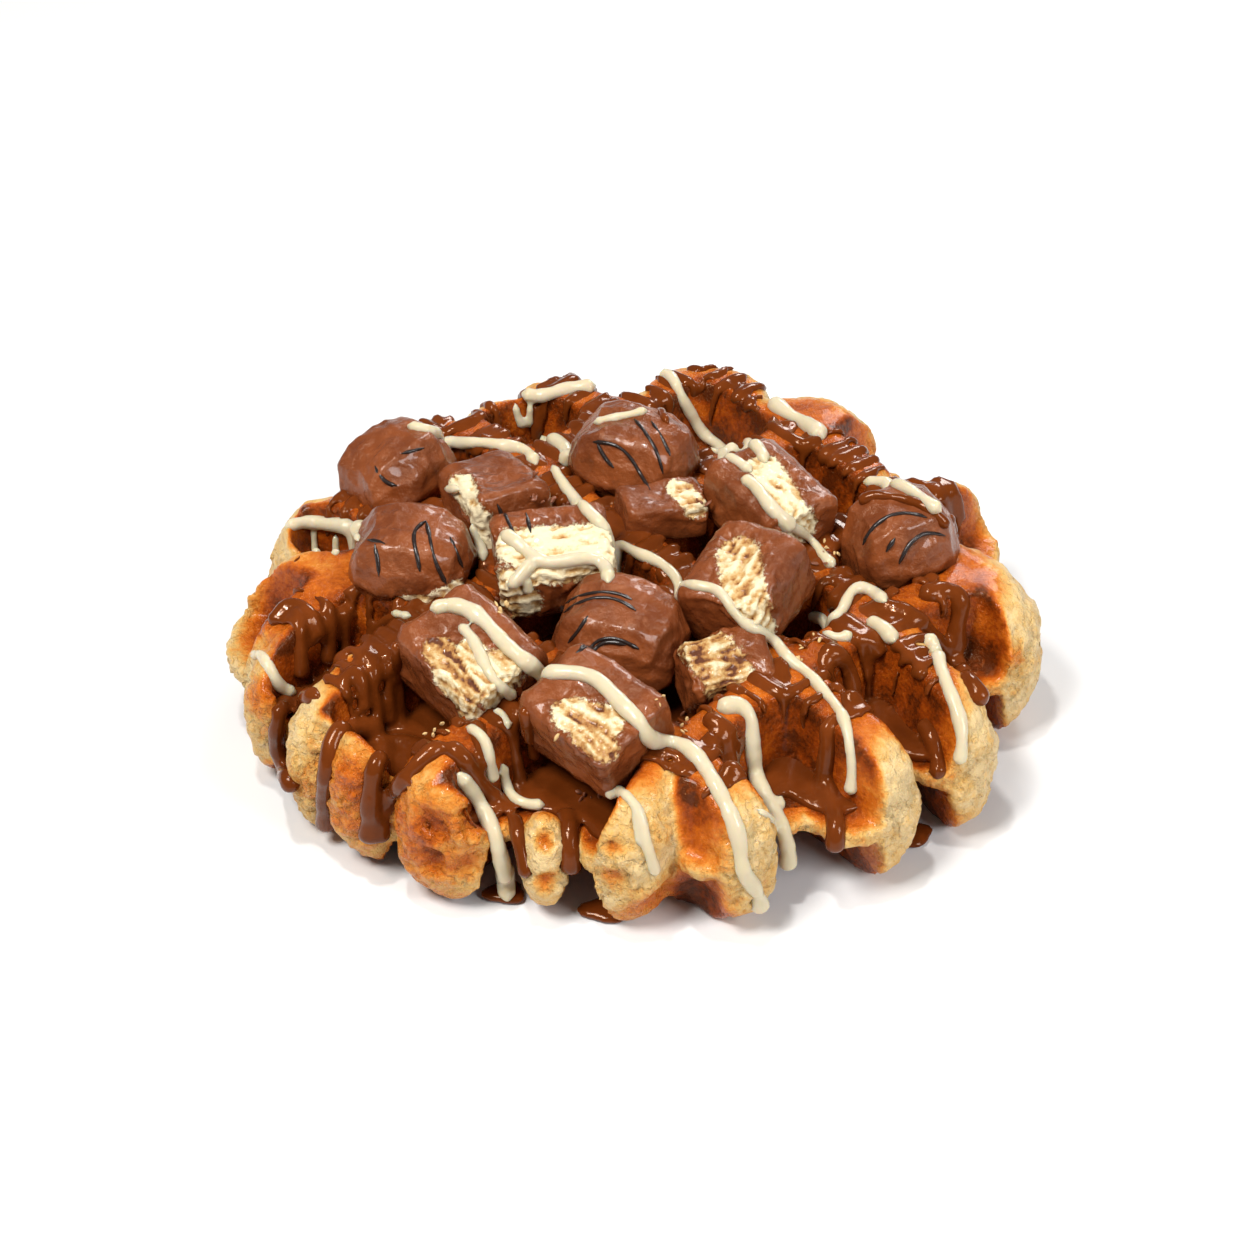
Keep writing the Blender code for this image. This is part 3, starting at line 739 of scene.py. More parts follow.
def strand_runs(route, surface, radius):
    """The centre line of a strand, cast onto what it lies on, hanging where that ends below it."""
    picture_step = STRAND_STEP * EYE_SCALE / EYE_DISTANCE
    spots = eased(even_steps(route, picture_step), 5)
    lift = radius * STRAND_LIFT
    runs = [[]]
    hung = 0.0
    for before, point in zip([spots[0], *spots], spots):
        eye, direction = sight_line(*point)
        hit, normal, _, _ = surface.ray_cast(eye, direction)
        last = runs[-1][-1] if runs[-1] else None
        step = point - before
        falls = last is not None and step.y > abs(step.x) and hung < LONGEST_HANG
        hanging = eye + direction * ((last.y - eye.y) / direction.y) if last is not None else None
        beyond = hit is None or (hanging is not None and hit.y > hanging.y + SHORTEST_LEAP)
        if beyond and falls and hanging.z > 0:
            centre = hanging
            hung += STRAND_STEP
        elif hit is not None:
            centre = hit + (normal + Vector((0, 0, 0.4))).normalized() * radius * STRAND_LIFT
            hung = 0.0
        else:
            continue
        centre.z = max(centre.z, radius * FLOOR_LIFT)
        if last is not None and (last - centre).length > LONGEST_LEAP:
            runs.append([])
        elif last is not None and (last - centre).length > SHORTEST_LEAP:
            runs[-1].extend(draped(last, centre, surface, lift))
        runs[-1].append(centre)
    return [eased(run, STRAND_EASING) for run in runs if len(run) > SCRAP]


def strands(name, runs, radius, rng):
    """The strands' lines as one mesh of edges, each point with its own thickness."""
    points = []
    edges = []
    thick = []
    for run in runs:
        start = len(points)
        phase = rng.uniform(0, 9)
        reach = [0.0]
        for here, after in zip(run, run[1:]):
            reach.append(reach[-1] + (after - here).length)
        for centre, along in zip(run, reach):
            tip = min(along, reach[-1] - along) / radius
            rounding = math.sqrt(max(0.05, 1 - max(0.0, 1 - tip) ** 2))
            swelling = 1
            for share, length, shift in STRAND_SWELLS:
                swelling += share * noise.noise((along / length, phase, shift))
            from_end = (reach[-1] - along - radius) / (END_SWELL_LENGTH * radius)
            swelling += END_SWELL * math.exp(-from_end ** 2)
            points.append((centre - BOX_MIDDLE) * MM)
            thick.append(radius * swelling * rounding * MM)
        edges.extend((index, index + 1) for index in range(start, len(points) - 1))
    mesh = bpy.data.meshes.new(name)
    mesh.from_pydata(points, edges, [])
    paint(mesh, "thick", thick)
    thing = bpy.data.objects.new(name, mesh)
    bpy.context.scene.collection.objects.link(thing)
    return thing


def strand_tubes(routes, full_radius, surface, seed):
    """Every routed strand as a closed tube of its own, laid over a surface."""
    rng = random.Random(seed)
    tree = strand_tree()
    tubes = []
    for share, route in routes:
        radius = full_radius / MM * share
        tube = strands("strand", strand_runs(route, surface, radius), radius, rng)
        grow_tree(tube, tree, {})
        tubes.append(tube)
    return tubes


# node trees

def new_tree(name, sockets):
    """A Geometry Nodes tree with its named inputs, and one geometry output."""
    tree = bpy.data.node_groups.new(name, "GeometryNodeTree")
    tree.interface.new_socket("Geometry", in_out="INPUT", socket_type="NodeSocketGeometry")
    for label, kind, value in sockets:
        socket = tree.interface.new_socket(label, in_out="INPUT", socket_type=kind)
        if value is not None:
            socket.default_value = value
    tree.interface.new_socket("Geometry", in_out="OUTPUT", socket_type="NodeSocketGeometry")
    source = tree.nodes.new("NodeGroupInput")
    source.name = "Inputs"
    return tree, source.outputs


def add(tree, kind, inputs=None, **settings):
    """One node, with its settings, and its inputs set or linked."""
    node = tree.nodes.new(kind)
    for key, value in settings.items():
        setattr(node, key, value)
    for key, value in (inputs or {}).items():
        if isinstance(value, bpy.types.NodeSocket):
            tree.links.new(value, node.inputs[key])
        else:
            node.inputs[key].default_value = value
    return node


def sums(tree, operation, *values):
    """A sum on numbers or sockets."""
    return add(tree, "ShaderNodeMath", dict(enumerate(values)), operation=operation).outputs[0]


def stepped(tree, value, low, high, bottom=0.0, top=1.0):
    """A soft step of a value."""
    return add(tree, "ShaderNodeMapRange",
               {"Value": value, "From Min": low, "From Max": high, "To Min": bottom,
                "To Max": top}, interpolation_type="SMOOTHSTEP").outputs[0]


def end_tree(tree, geometry, material):
    """Real meshes with their material, as the tree's end."""
    real = add(tree, "GeometryNodeRealizeInstances", {"Geometry": geometry})
    coloured = add(tree, "GeometryNodeSetMaterial",
                   {"Geometry": real.outputs[0], "Material": material})
    add(tree, "NodeGroupOutput", {"Geometry": coloured.outputs[0]})


def strand_tree():
    """A round tube along every line of edges, as thick as its points say."""
    tree, given = new_tree("strand", (
        ("Sides", "NodeSocketInt", 10), ("Material", "NodeSocketMaterial", None)))
    curve = add(tree, "GeometryNodeMeshToCurve", {"Mesh": given["Geometry"]})
    thick = add(tree, "GeometryNodeInputNamedAttribute", {"Name": "thick"}, data_type="FLOAT")
    profile = add(tree, "GeometryNodeCurvePrimitiveCircle",
                  {"Resolution": given["Sides"], "Radius": 1.0})
    tube = add(tree, "GeometryNodeCurveToMesh",
               {"Curve": curve.outputs[0], "Profile Curve": profile.outputs[0],
                "Scale": thick.outputs[0], "Fill Caps": True})
    end_tree(tree, tube.outputs[0], given["Material"])
    return tree


def relief_tree():
    """A crust that swells and dips, with a fine grain and open pores on its free sides."""
    tree, given = new_tree("crust relief", (
        ("Swell Size", "NodeSocketFloat", 0.011), ("Swell Depth", "NodeSocketFloat", 0.0009),
        ("Grain Size", "NodeSocketFloat", 0.0032), ("Grain Depth", "NodeSocketFloat", 0.0005),
        ("Pore Size", "NodeSocketFloat", 0.0045), ("Pore Depth", "NodeSocketFloat", 0.0009),
        ("Crease Size", "NodeSocketFloat", 0.0060), ("Crease Depth", "NodeSocketFloat", 0.0006),
        ("Material", "NodeSocketMaterial", None)))
    free = add(tree, "GeometryNodeInputNamedAttribute", {"Name": "free"}, data_type="FLOAT")
    free = free.outputs[0]
    place = add(tree, "GeometryNodeInputPosition").outputs[0]
    stronger = sums(tree, "MULTIPLY_ADD", free, 2.2, 1.0)
    heights = []
    for size, depth, detail in (("Swell Size", "Swell Depth", 1.0),
                                ("Grain Size", "Grain Depth", 2.0)):
        hills = add(tree, "ShaderNodeTexNoise",
                    {"Vector": place, "Scale": sums(tree, "DIVIDE", 1.0, given[size]),
                     "Detail": detail})
        hills = sums(tree, "SUBTRACT", hills.outputs[0], 0.5)
        hills = sums(tree, "MULTIPLY", hills, given[depth])
        heights.append(sums(tree, "MULTIPLY", hills, stronger))
    cells = add(tree, "ShaderNodeTexVoronoi",
                {"Vector": place, "Scale": sums(tree, "DIVIDE", 1.0, given["Pore Size"])})
    pores = stepped(tree, cells.outputs[0], 0.0, 0.32, bottom=-1.0, top=0.0)
    folds = add(tree, "ShaderNodeTexNoise",
                {"Vector": place, "Scale": sums(tree, "DIVIDE", 1.0, given["Crease Size"]),
                 "Detail": 1.0, "Distortion": 0.6})
    folds = sums(tree, "ABSOLUTE", sums(tree, "SUBTRACT", folds.outputs[0], 0.5))
    creases = stepped(tree, folds, 0.0, 0.06, bottom=-1.0, top=0.0)
    for hollows, depth in ((pores, "Pore Depth"), (creases, "Crease Depth")):
        hollows = sums(tree, "MULTIPLY", hollows, given[depth])
        heights.append(sums(tree, "MULTIPLY", hollows, free))
    relief = heights[0]
    for height in heights[1:]:
        relief = sums(tree, "ADD", relief, height)
    normal = add(tree, "GeometryNodeInputNormal")
    offset = add(tree, "ShaderNodeVectorMath",
                 {0: normal.outputs[0], "Scale": relief}, operation="SCALE")
    moved = add(tree, "GeometryNodeSetPosition",
                {"Geometry": given["Geometry"], "Offset": offset.outputs[0]})
    end_tree(tree, moved.outputs[0], given["Material"])
    return tree


def crumb_tree():
    """Small uneven crumbs, scattered over faces."""
    tree, given = new_tree("crumbs", (
        ("Density", "NodeSocketFloat", 60000.0), ("Least Size", "NodeSocketFloat", 0.0004),
        ("Most Size", "NodeSocketFloat", 0.0011), ("Seed", "NodeSocketInt", 3),
        ("Material", "NodeSocketMaterial", None)))
    spread = add(tree, "GeometryNodeDistributePointsOnFaces",
                 {"Mesh": given["Geometry"], "Density": given["Density"], "Seed": given["Seed"]})
    ball = add(tree, "GeometryNodeMeshIcoSphere", {"Radius": 1.0, "Subdivisions": 2})
    place = add(tree, "GeometryNodeInputPosition")
    rough = add(tree, "ShaderNodeTexNoise", {"Vector": place.outputs[0], "Scale": 1.4})
    lumpy = add(tree, "ShaderNodeVectorMath", {0: rough.outputs[1], 1: (0.5, 0.5, 0.5)},
                operation="SUBTRACT")
    crumb = add(tree, "GeometryNodeSetPosition",
                {"Geometry": ball.outputs[0], "Offset": lumpy.outputs[0]})
    flake = add(tree, "GeometryNodeTransform", {"Geometry": crumb.outputs[0], "Scale": FLAKE})
    size = add(tree, "FunctionNodeRandomValue", {"Seed": given["Seed"]}, data_type="FLOAT")
    tree.links.new(given["Least Size"], size.inputs[2])
    tree.links.new(given["Most Size"], size.inputs[3])
    turn = add(tree, "FunctionNodeRandomValue", {1: WHOLE_TURN, "Seed": given["Seed"]},
               data_type="FLOAT_VECTOR")
    copies = add(tree, "GeometryNodeInstanceOnPoints",
                 {"Points": spread.outputs[0], "Instance": flake.outputs[0],
                  "Rotation": turn.outputs[0], "Scale": size.outputs[1]})
    end_tree(tree, copies.outputs[0], given["Material"])
    return tree


def grow_tree(thing, tree, values):
    """Run a tree on an object, with its inputs set by name, and keep what it makes."""
    change = thing.modifiers.new(tree.name, "NODES")
    change.node_group = tree
    for item in tree.interface.items_tree:
        if item.in_out == "INPUT" and item.name in values:
            change[item.identifier] = values[item.name]
    apply_modifiers(thing)


def fused(name, things, voxel, rounds):
    """One closed skin round several closed shapes, smoothed where they meet."""
    work = bmesh.new()
    for thing in things:
        work.from_mesh(thing.data)
    mesh = bpy.data.meshes.new(name)
    work.to_mesh(mesh)
    work.free()
    for thing in things:
        bpy.data.objects.remove(thing)
    whole = bpy.data.objects.new(name, mesh)
    bpy.context.scene.collection.objects.link(whole)
    skin = whole.modifiers.new("skin", "REMESH")
    skin.mode = "VOXEL"
    skin.voxel_size = voxel * MM
    ease = whole.modifiers.new("ease", "SMOOTH")
    ease.factor = 0.5
    ease.iterations = rounds
    apply_modifiers(whole)
    if len(whole.data.polygons) > MOST_FACES:
        thin = whole.modifiers.new("thin", "DECIMATE")
        thin.ratio = MOST_FACES / len(whole.data.polygons)
        apply_modifiers(whole)
    return whole


# materials

def new_material(name, colour, roughness):
    """A material with its shader, and the colour and roughness set on the shader."""
    material = bpy.data.materials.new(name)
    material.use_nodes = True
    material.diffuse_color = (*colour, 1.0)
    shader = material.node_tree.nodes["Principled BSDF"]
    shader.inputs["Base Color"].default_value = (*colour, 1.0)
    shader.inputs["Roughness"].default_value = roughness
    return material, material.node_tree, shader


def cloud(tree, size, detail=3.0, roughness=0.55, stretch=None):
    """Soft noise on the object's own coordinates, with bumps of one size in millimetres."""
    place = add(tree, "ShaderNodeTexCoord").outputs["Object"]
    if stretch:
        place = add(tree, "ShaderNodeMapping", {"Vector": place, "Scale": stretch}).outputs[0]
    return add(tree, "ShaderNodeTexNoise",
               {"Vector": place, "Scale": 1 / (size * MM), "Detail": detail,
                "Roughness": roughness}).outputs[0]


def ramp(tree, value, stops):
    """A colour ramp over a value."""
    node = add(tree, "ShaderNodeValToRGB", {0: value})
    spread = node.color_ramp.elements
    while len(spread) < len(stops):
        spread.new(0.5)
    for element, (place, colour) in zip(spread, stops):
        element.position = place
        element.color = (*colour, 1.0)
    return node.outputs[0]


def mixed(tree, share, first, second):
    """One colour shading into another."""
    node = add(tree, "ShaderNodeMix", {0: share}, data_type="RGBA")
    for socket, value in ((node.inputs[6], first), (node.inputs[7], second)):
        if isinstance(value, bpy.types.NodeSocket):
            tree.links.new(value, socket)
        else:
            socket.default_value = (*value, 1.0)
    return node.outputs[2]


def bump(tree, shader, height, depth, before=None):
    """Fine relief in the shading, its depth in millimetres."""
    node = add(tree, "ShaderNodeBump", {"Strength": 1.0, "Distance": depth * MM, "Height": height})
    if before is not None:
        tree.links.new(before.outputs[0], node.inputs["Normal"])
    tree.links.new(node.outputs[0], shader.inputs["Normal"])
    return node


def set_sockets(shader, values):
    """Set the shader's own sockets by name."""
    for label, value in values.items():
        shader.inputs[label].default_value = value


def painted(tree, name):
    """What was painted on the mesh's points under a name."""
    return add(tree, "ShaderNodeAttribute", attribute_name=name).outputs["Fac"]


def dough_material(look):
    """Crust from pale to deep brown, as the painted browning, the painted shade in the pockets and
    fine noise say.
    """
    material, tree, shader = new_material("baked_crust", look.golden, 0.5)
    browning = painted(tree, "browning")
    free = painted(tree, "free")
    coarse = stepped(tree, cloud(tree, 4.5, 3.0, 0.6), 0.3, 0.7, bottom=-0.1, top=0.1)
    fine = stepped(tree, cloud(tree, 0.9, 3.0, 0.6), 0.3, 0.7, bottom=-0.06, top=0.06)
    shade = sums(tree, "ADD", sums(tree, "ADD", browning, coarse), fine)
    bubbles = stepped(tree, cloud(tree, 1.7, 4.0, 0.6), 0.38, 0.58)
    freckle = sums(tree, "MULTIPLY", sums(tree, "SUBTRACT", 1.0, bubbles), free)
    shade = sums(tree, "MULTIPLY_ADD", freckle, 0.07, shade)
    colour = ramp(tree, shade, (
        (0.0, look.pale), (0.2, look.cream), (0.4, look.golden), (0.6, look.amber),
        (0.82, look.brown), (1.0, look.deep)))
    tree.links.new(colour, shader.inputs["Base Color"])
    gloss = stepped(tree, shade, 0.15, 0.6, bottom=0.5, top=0.16)
    tree.links.new(gloss, shader.inputs["Roughness"])
    set_sockets(shader, {
        "Specular IOR Level": 0.3, "Specular Tint": (1.0, 0.64, 0.34, 1.0),
        "Coat Weight": 0.14, "Coat Roughness": 0.08,
        "Subsurface Weight": 0.1, "Subsurface Radius": (1.0, 0.45, 0.2),
        "Subsurface Scale": 0.002})
    grain = bump(tree, shader, cloud(tree, 0.6, 4.0, 0.65), 0.3)
    walls = cloud(tree, 1.5, 4.0, 0.65, stretch=(1.0, 1.0, 0.5))
    walls = bump(tree, shader, walls, 0.55, grain)
    bump(tree, shader, sums(tree, "MULTIPLY", bubbles, free), 0.3, walls)
    return material


def sauce_material(name, colours, sheen, roughness, softness):
    """A glossy set chocolate in slight clouds, with painted shade in a colour of its own low in the
    inner pockets.
    """
    # the third colour is the painted shade
    colour, shaded, deep = colours
    material, tree, shader = new_material(name, colour, roughness)
    share = stepped(tree, cloud(tree, 6.0, 3.0), 0.35, 0.7)
    place = add(tree, "ShaderNodeTexCoord").outputs["Object"]
    height = add(tree, "ShaderNodeSeparateXYZ", {0: place}).outputs["Z"]
    # painted shade: full low down in the inner pockets, fading upwards and towards the free edge
    painted_shade_share = stepped(tree, height, 15 * MM, 27 * MM, bottom=1.0, top=0.0)
    flat = add(tree, "ShaderNodeMapping", {"Vector": place, "Scale": (1.0, 1.0, 0.0)}).outputs[0]
    reach = add(tree, "ShaderNodeVectorMath", {0: flat}, operation="LENGTH").outputs["Value"]
    inner = stepped(tree, reach, 26 * MM, 44 * MM, bottom=1.0, top=0.2)
    painted_shade_share = sums(tree, "MULTIPLY", painted_shade_share, inner)
    top = mixed(tree, share, colour, shaded)
    tree.links.new(mixed(tree, painted_shade_share, top, deep), shader.inputs["Base Color"])
    set_sockets(shader, {
        "Specular IOR Level": 0.22, "Specular Tint": (*sheen, 1.0),
        "Coat Weight": 0.16, "Coat Roughness": 0.04,
        "Subsurface Weight": softness, "Subsurface Radius": (1.0, 0.6, 0.3),
        "Subsurface Scale": 0.0025})
    bump(tree, shader, cloud(tree, 1.8, 2.0), 0.12)
    return material


def bar_material(look):
    """Coating outside, and where the bar is broken its wafer sheets, cream and hollows, with painted
    shade where the filling sinks in.
    """
    material, tree, shader = new_material("coated_wafer", look.coating, 0.38)
    filling = painted(tree, "filling")
    sheet = painted(tree, "sheet")
    scuff = stepped(tree, cloud(tree, 2.4, 5.0, 0.7), 0.5, 0.75, bottom=0.0, top=0.5)
    patch = stepped(tree, cloud(tree, 7.0, 2.0), 0.35, 0.65)
    skin = mixed(tree, scuff, mixed(tree, patch, look.coating, look.coating_dark), look.scuffed)
    crumbly = cloud(tree, 0.7, 4.0, 0.7)
    tone = sums(tree, "ADD", sheet, sums(tree, "MULTIPLY_ADD", crumbly, 0.7, -0.35))
    # painted shade: the darker stops fall where the same sheet value sinks the filling in
    inside = ramp(tree, tone, (
        (0.08, look.hollow_chocolate_and_shade), (0.24, look.wafer_dark_and_shade), (0.42, look.wafer), (0.75, look.cream)))
    ragged = sums(tree, "ADD", filling, sums(tree, "MULTIPLY_ADD", crumbly, 0.5, -0.25))
    share = stepped(tree, ragged, 0.44, 0.54)
    tree.links.new(mixed(tree, share, skin, inside), shader.inputs["Base Color"])
    dullness = stepped(tree, share, 0.0, 1.0, bottom=0.24, top=0.75)
    tree.links.new(dullness, shader.inputs["Roughness"])
    set_sockets(shader, {
        "Specular IOR Level": 0.4, "Specular Tint": (1.0, 0.75, 0.55, 1.0),
        "Coat Weight": 0.3, "Coat Roughness": 0.1})
    smooth = bump(tree, shader, cloud(tree, 1.3, 5.0, 0.65), 0.35)
    shreds = cloud(tree, 0.6, 3.0, 0.6, stretch=(0.4, 1.0, 1.0))
    bump(tree, shader, sums(tree, "MULTIPLY", shreds, share), 0.25, smooth)
    return material


# what each operator makes

def settle(thing):
    """The finished piece rides on the body."""
    thing.data.name = thing.name
    thing.data.shade_smooth()
    points = plan_points(thing.data)
    points[:, 2] = np.maximum(points[:, 2], 0)
    set_plan_points(thing.data, points)
    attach(thing, BODY)
    return thing


def clad(thing, material):
    """Give the whole of a piece one material."""
    thing.data.materials.clear()
    thing.data.materials.append(material)


def drop_old(name):
    """Remove a piece that was made before, so that it can be made again."""
    old = bpy.data.objects.get(name)
    if old:
        bpy.data.objects.remove(old)


def outline_radii(points):
    """The free edge's reach at each point's azimuth."""
    steps = 720
    table = np.array([outline_radius(2 * math.pi * step / steps) for step in range(steps + 1)])
    turns = np.mod(np.arctan2(points[:, 1], points[:, 0]), 2 * math.pi)
    return np.interp(turns, np.linspace(0, 2 * math.pi, steps + 1), table)


def pocket_share(points):
    """How far each point is inside a pocket, from 0 to 1, a wall being half."""
    best = np.full(len(points), -9.0)
    depth = np.abs(np.where(points[:, 2] > (WEB_LOW + WEB_HIGH) / 2,
                            THICKNESS - points[:, 2], points[:, 2]))
    for place in POCKETS:
        corners = np.array(pocket_corners(*place), float)
        inside = np.full(len(points), 99.0)
        for here, after in zip(corners, np.roll(corners, -1, axis=0)):
            along = (after - here) / np.linalg.norm(after - here)
            inward = np.array((-along[1], along[0]))
            inside = np.minimum(inside, (points[:, :2] - here) @ inward)
        best = np.maximum(best, inside - CREST_HALF_WIDTH - depth * DRAFT)
    return smoothstep(*WALL_FADE, best)


def dough_browning_and_shade(points, surface):
    """How brown the crust is at each point, with painted shade in the pockets, and how free of the
    iron it was.
    """
    height = points[:, 2]
    within = outline_radii(points) - np.hypot(points[:, 0], points[:, 1])
    pocket = pocket_share(points) * smoothstep(*POCKET_FADE, within)
    outer = smoothstep(*SIDE_FADE, within) * np.clip(1 - pocket, 0, 1)
    middle = 1 - np.abs(height / THICKNESS - 0.5) * 2
    free = np.clip(outer * (0.55 + 0.6 * middle), 0, 1)
    # the pockets: real browning from the iron, and painted shade
    browning = GROUND_BROWN + POCKET_BROWN_AND_SHADE * pocket
    browning += POCKET_CLOUDS * pocket * wobble(points, 5.0)
    browning -= SIDE_PALENESS * outer
    browning += CRUST_CLOUDS * wobble(points, 9.0, 3.0) * (0.4 + outer)
    browning += CREST_BROWN * smoothstep(*CREST_FADE, height) * (1 - outer)
    for spot, size, amount in PATCHES:
        hit = spot_on(surface, spot)
        if hit is not None:
            apart = np.linalg.norm(points - np.array(hit), axis=1)
            browning += amount * np.exp(-(apart / size) ** 2) * (0.35 + 0.65 * (1 - pocket))
    # lower walls and floors of the pockets: real browning, and painted shade deep down
    browning += FLOOR_BROWN_AND_SHADE * (smoothstep(THICKNESS, WEB_HIGH, height) * pocket)
    browning += FOOT_BROWN * smoothstep(*FOOT_FADE, height) * outer
    return np.clip(browning, 0, 1), free


def press_hollows(points, normals, surface):
    """Dent the free side where the iron's edge touched it."""
    for spot, size, depth in PRESSES:
        hit = spot_on(surface, spot)
        if hit is not None:
            apart = np.linalg.norm(points - np.array(hit), axis=1)
            points = points - normals * (depth * np.exp(-(apart / size) ** 6))[:, None]
    return points


def make_dough(look):
    """The baked dough, pressed by the pegs, eased, swollen, browned and darkened with painted shade
    in its pockets.
    """
    drop_old("waffle_dough")
    core = dough_blank()
    pegs = []
    for place in POCKETS:
        corners = pocket_corners(*place)
        pegs.append(peg(corners, WEB_HIGH, THICKNESS + PEG_OVERRUN))
        pegs.append(peg(corners, WEB_LOW, -PEG_OVERRUN))
    boolean(core, pegs, "DIFFERENCE")
    dough = fused("waffle_dough", [core, small_lobe()], look.mesh_size / MM, look.easing)
    surface = surface_of(dough)
    points = plan_points(dough.data)
    browning, free = dough_browning_and_shade(points, surface)
    set_plan_points(dough.data, press_hollows(points, point_normals(dough.data), surface))
    paint(dough.data, "browning", browning)
    paint(dough.data, "free", free)
    grow_tree(dough, relief_tree(), {
        "Swell Depth": look.swell_depth, "Grain Depth": look.grain_depth,
        "Pore Depth": look.pore_depth, "Material": dough_material(look)})
    settle(dough)
    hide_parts("waffle")


def bar_blank(name):
    """One chopped piece of bar, uneven all over and turned as it fell, as in the solids."""
    shape, place, size, turn = PIECES[name]
    rings = dome_rings(*size) if shape == "dome" else block_rings(*size)
    turned = Euler([math.radians(angle) for angle in turn]).to_matrix()
    moved = []
    for ring in rings:
        row = []
        for point in ring:
            spot = Vector(point) / CHIP_SIZE + Vector(place)
            chip = Vector([noise.noise(spot + shift) for shift in CHIP_SHIFTS])
            row.append(turned @ (Vector(point) + chip * CHIP_DEPTH) + Vector(place))
        moved.append(row)
    return rings_object("blank", moved), turned, Vector(place)


def line_distance(points, line):
    """Each point's distance to a polyline."""
    best = np.full(len(points), 1e9)
    for start, end in zip(line, line[1:]):
        start = np.array(start)
        along = np.array(end) - start
        share = np.clip((points - start) @ along / max(along @ along, 1e-9), 0, 1)
        best = np.minimum(best, np.linalg.norm(points - start - share[:, None] * along, axis=1))
    return best


def broken_share(name, points, surface):
    """How near each point is to where the filling shows, 1 on its line, and its paleness there."""
    filling = np.zeros(len(points))
    tone = np.zeros(len(points))
    for route, half_width, paler in FILLINGS.get(name, ()):
        line = [hit for hit in (spot_on(surface, spot) for spot in even_steps(route, 12)) if hit]
        if len(line) > 1:
            inside = 1 - line_distance(points, line) / (2 * half_width)
            tone = np.where(inside > filling, paler, tone)
            filling = np.maximum(filling, inside)
    return filling, tone


def bar_relief(name, own, filling, sheet, look):
    """How far each point moves out, in millimetres: folds of coating, or shreds of filling."""
    broken = smoothstep(*BROKEN_SHARE, filling)
    torn = smoothstep(*TORN_SHARE, filling) * (1 - broken)
    folds = 1 - 2 * np.abs(wobble(own * np.array((0.7, 1.0, 1.0)), 11.0, 4.0))
    creases = 1 - 2 * np.abs(wobble(own, 3.4, 9.0))
    crumple = wobble(own * np.array((1.0, 1.4, 1.0)), 1.9, 5.0)
    coarse = DOME_FOLDS if PIECES[name][0] == "dome" else BLOCK_FOLDS
    skin = coarse * (folds - 0.6) + 0.4 * (creases - 0.5) + 0.3 * crumple
    skin += torn * (1.1 * wobble(own, 1.3, 3.0) + 0.8 * creases - 0.4)
    ragged = look.ragged / MM * (1.1 * sheet - 0.95)
    return look.crumple / MM * skin * (1 - broken) + ragged * broken


def make_bar_pieces(look):
    """Every chopped piece of bar, with its crumpled coating and its broken filling."""
    material = bar_material(look)
    for name in PIECES:
        made = name.replace("bar_piece", "chopped_bar")
        drop_old(made)
        blank, turned, place = bar_blank(name)
        piece = fused(made, [blank], look.mesh_size / MM, 2)
        points = plan_points(piece.data)
        normals = point_normals(piece.data)
        own = (points - np.array(place)) @ np.array(turned)
        filling, tone = broken_share(name, points, surface_of(piece))
        streak = wobble(own * np.array((0.28, 1.0, 0.8)), 0.95, 2.0)
        sheet = np.clip(0.5 + tone + 0.6 * streak + 0.3 * wobble(own, 0.9, 7.0), 0, 1)
        offset = bar_relief(name, own, filling, sheet, look)
        set_plan_points(piece.data, points + normals * offset[:, None])
        paint(piece.data, "filling", filling)
        paint(piece.data, "sheet", sheet)
        clad(piece, material)
        settle(piece)
        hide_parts(name)


def ridge_lines():
    """Every stretch of ridge between two crossings, as pairs of plan points."""
    stretches = []
    for row in CROSSINGS:
        line = [point for point in row if point]
        stretches.extend(zip(line, line[1:]))
    for column in range(len(CROSSINGS[0])):
        line = [row[column] for row in CROSSINGS if row[column]]
        stretches.extend(zip(line, line[1:]))
    return stretches


def drip_bands(length, look, rng):
    """Where sauce runs down from a stretch of ridge: the side, place, half width and run."""
    bands = []
    count = max(1, round(length / look.drip_spacing))
    for index in range(count):
        middle = (index + rng.uniform(*BAND_PLACE)) * length / count
        half_width = rng.uniform(*BAND_HALF_WIDTH)
        for side in (-1, 1):
            run = look.drip_length * rng.random() ** BAND_POWER
            bands.append((side, middle, half_width, run))
    return bands


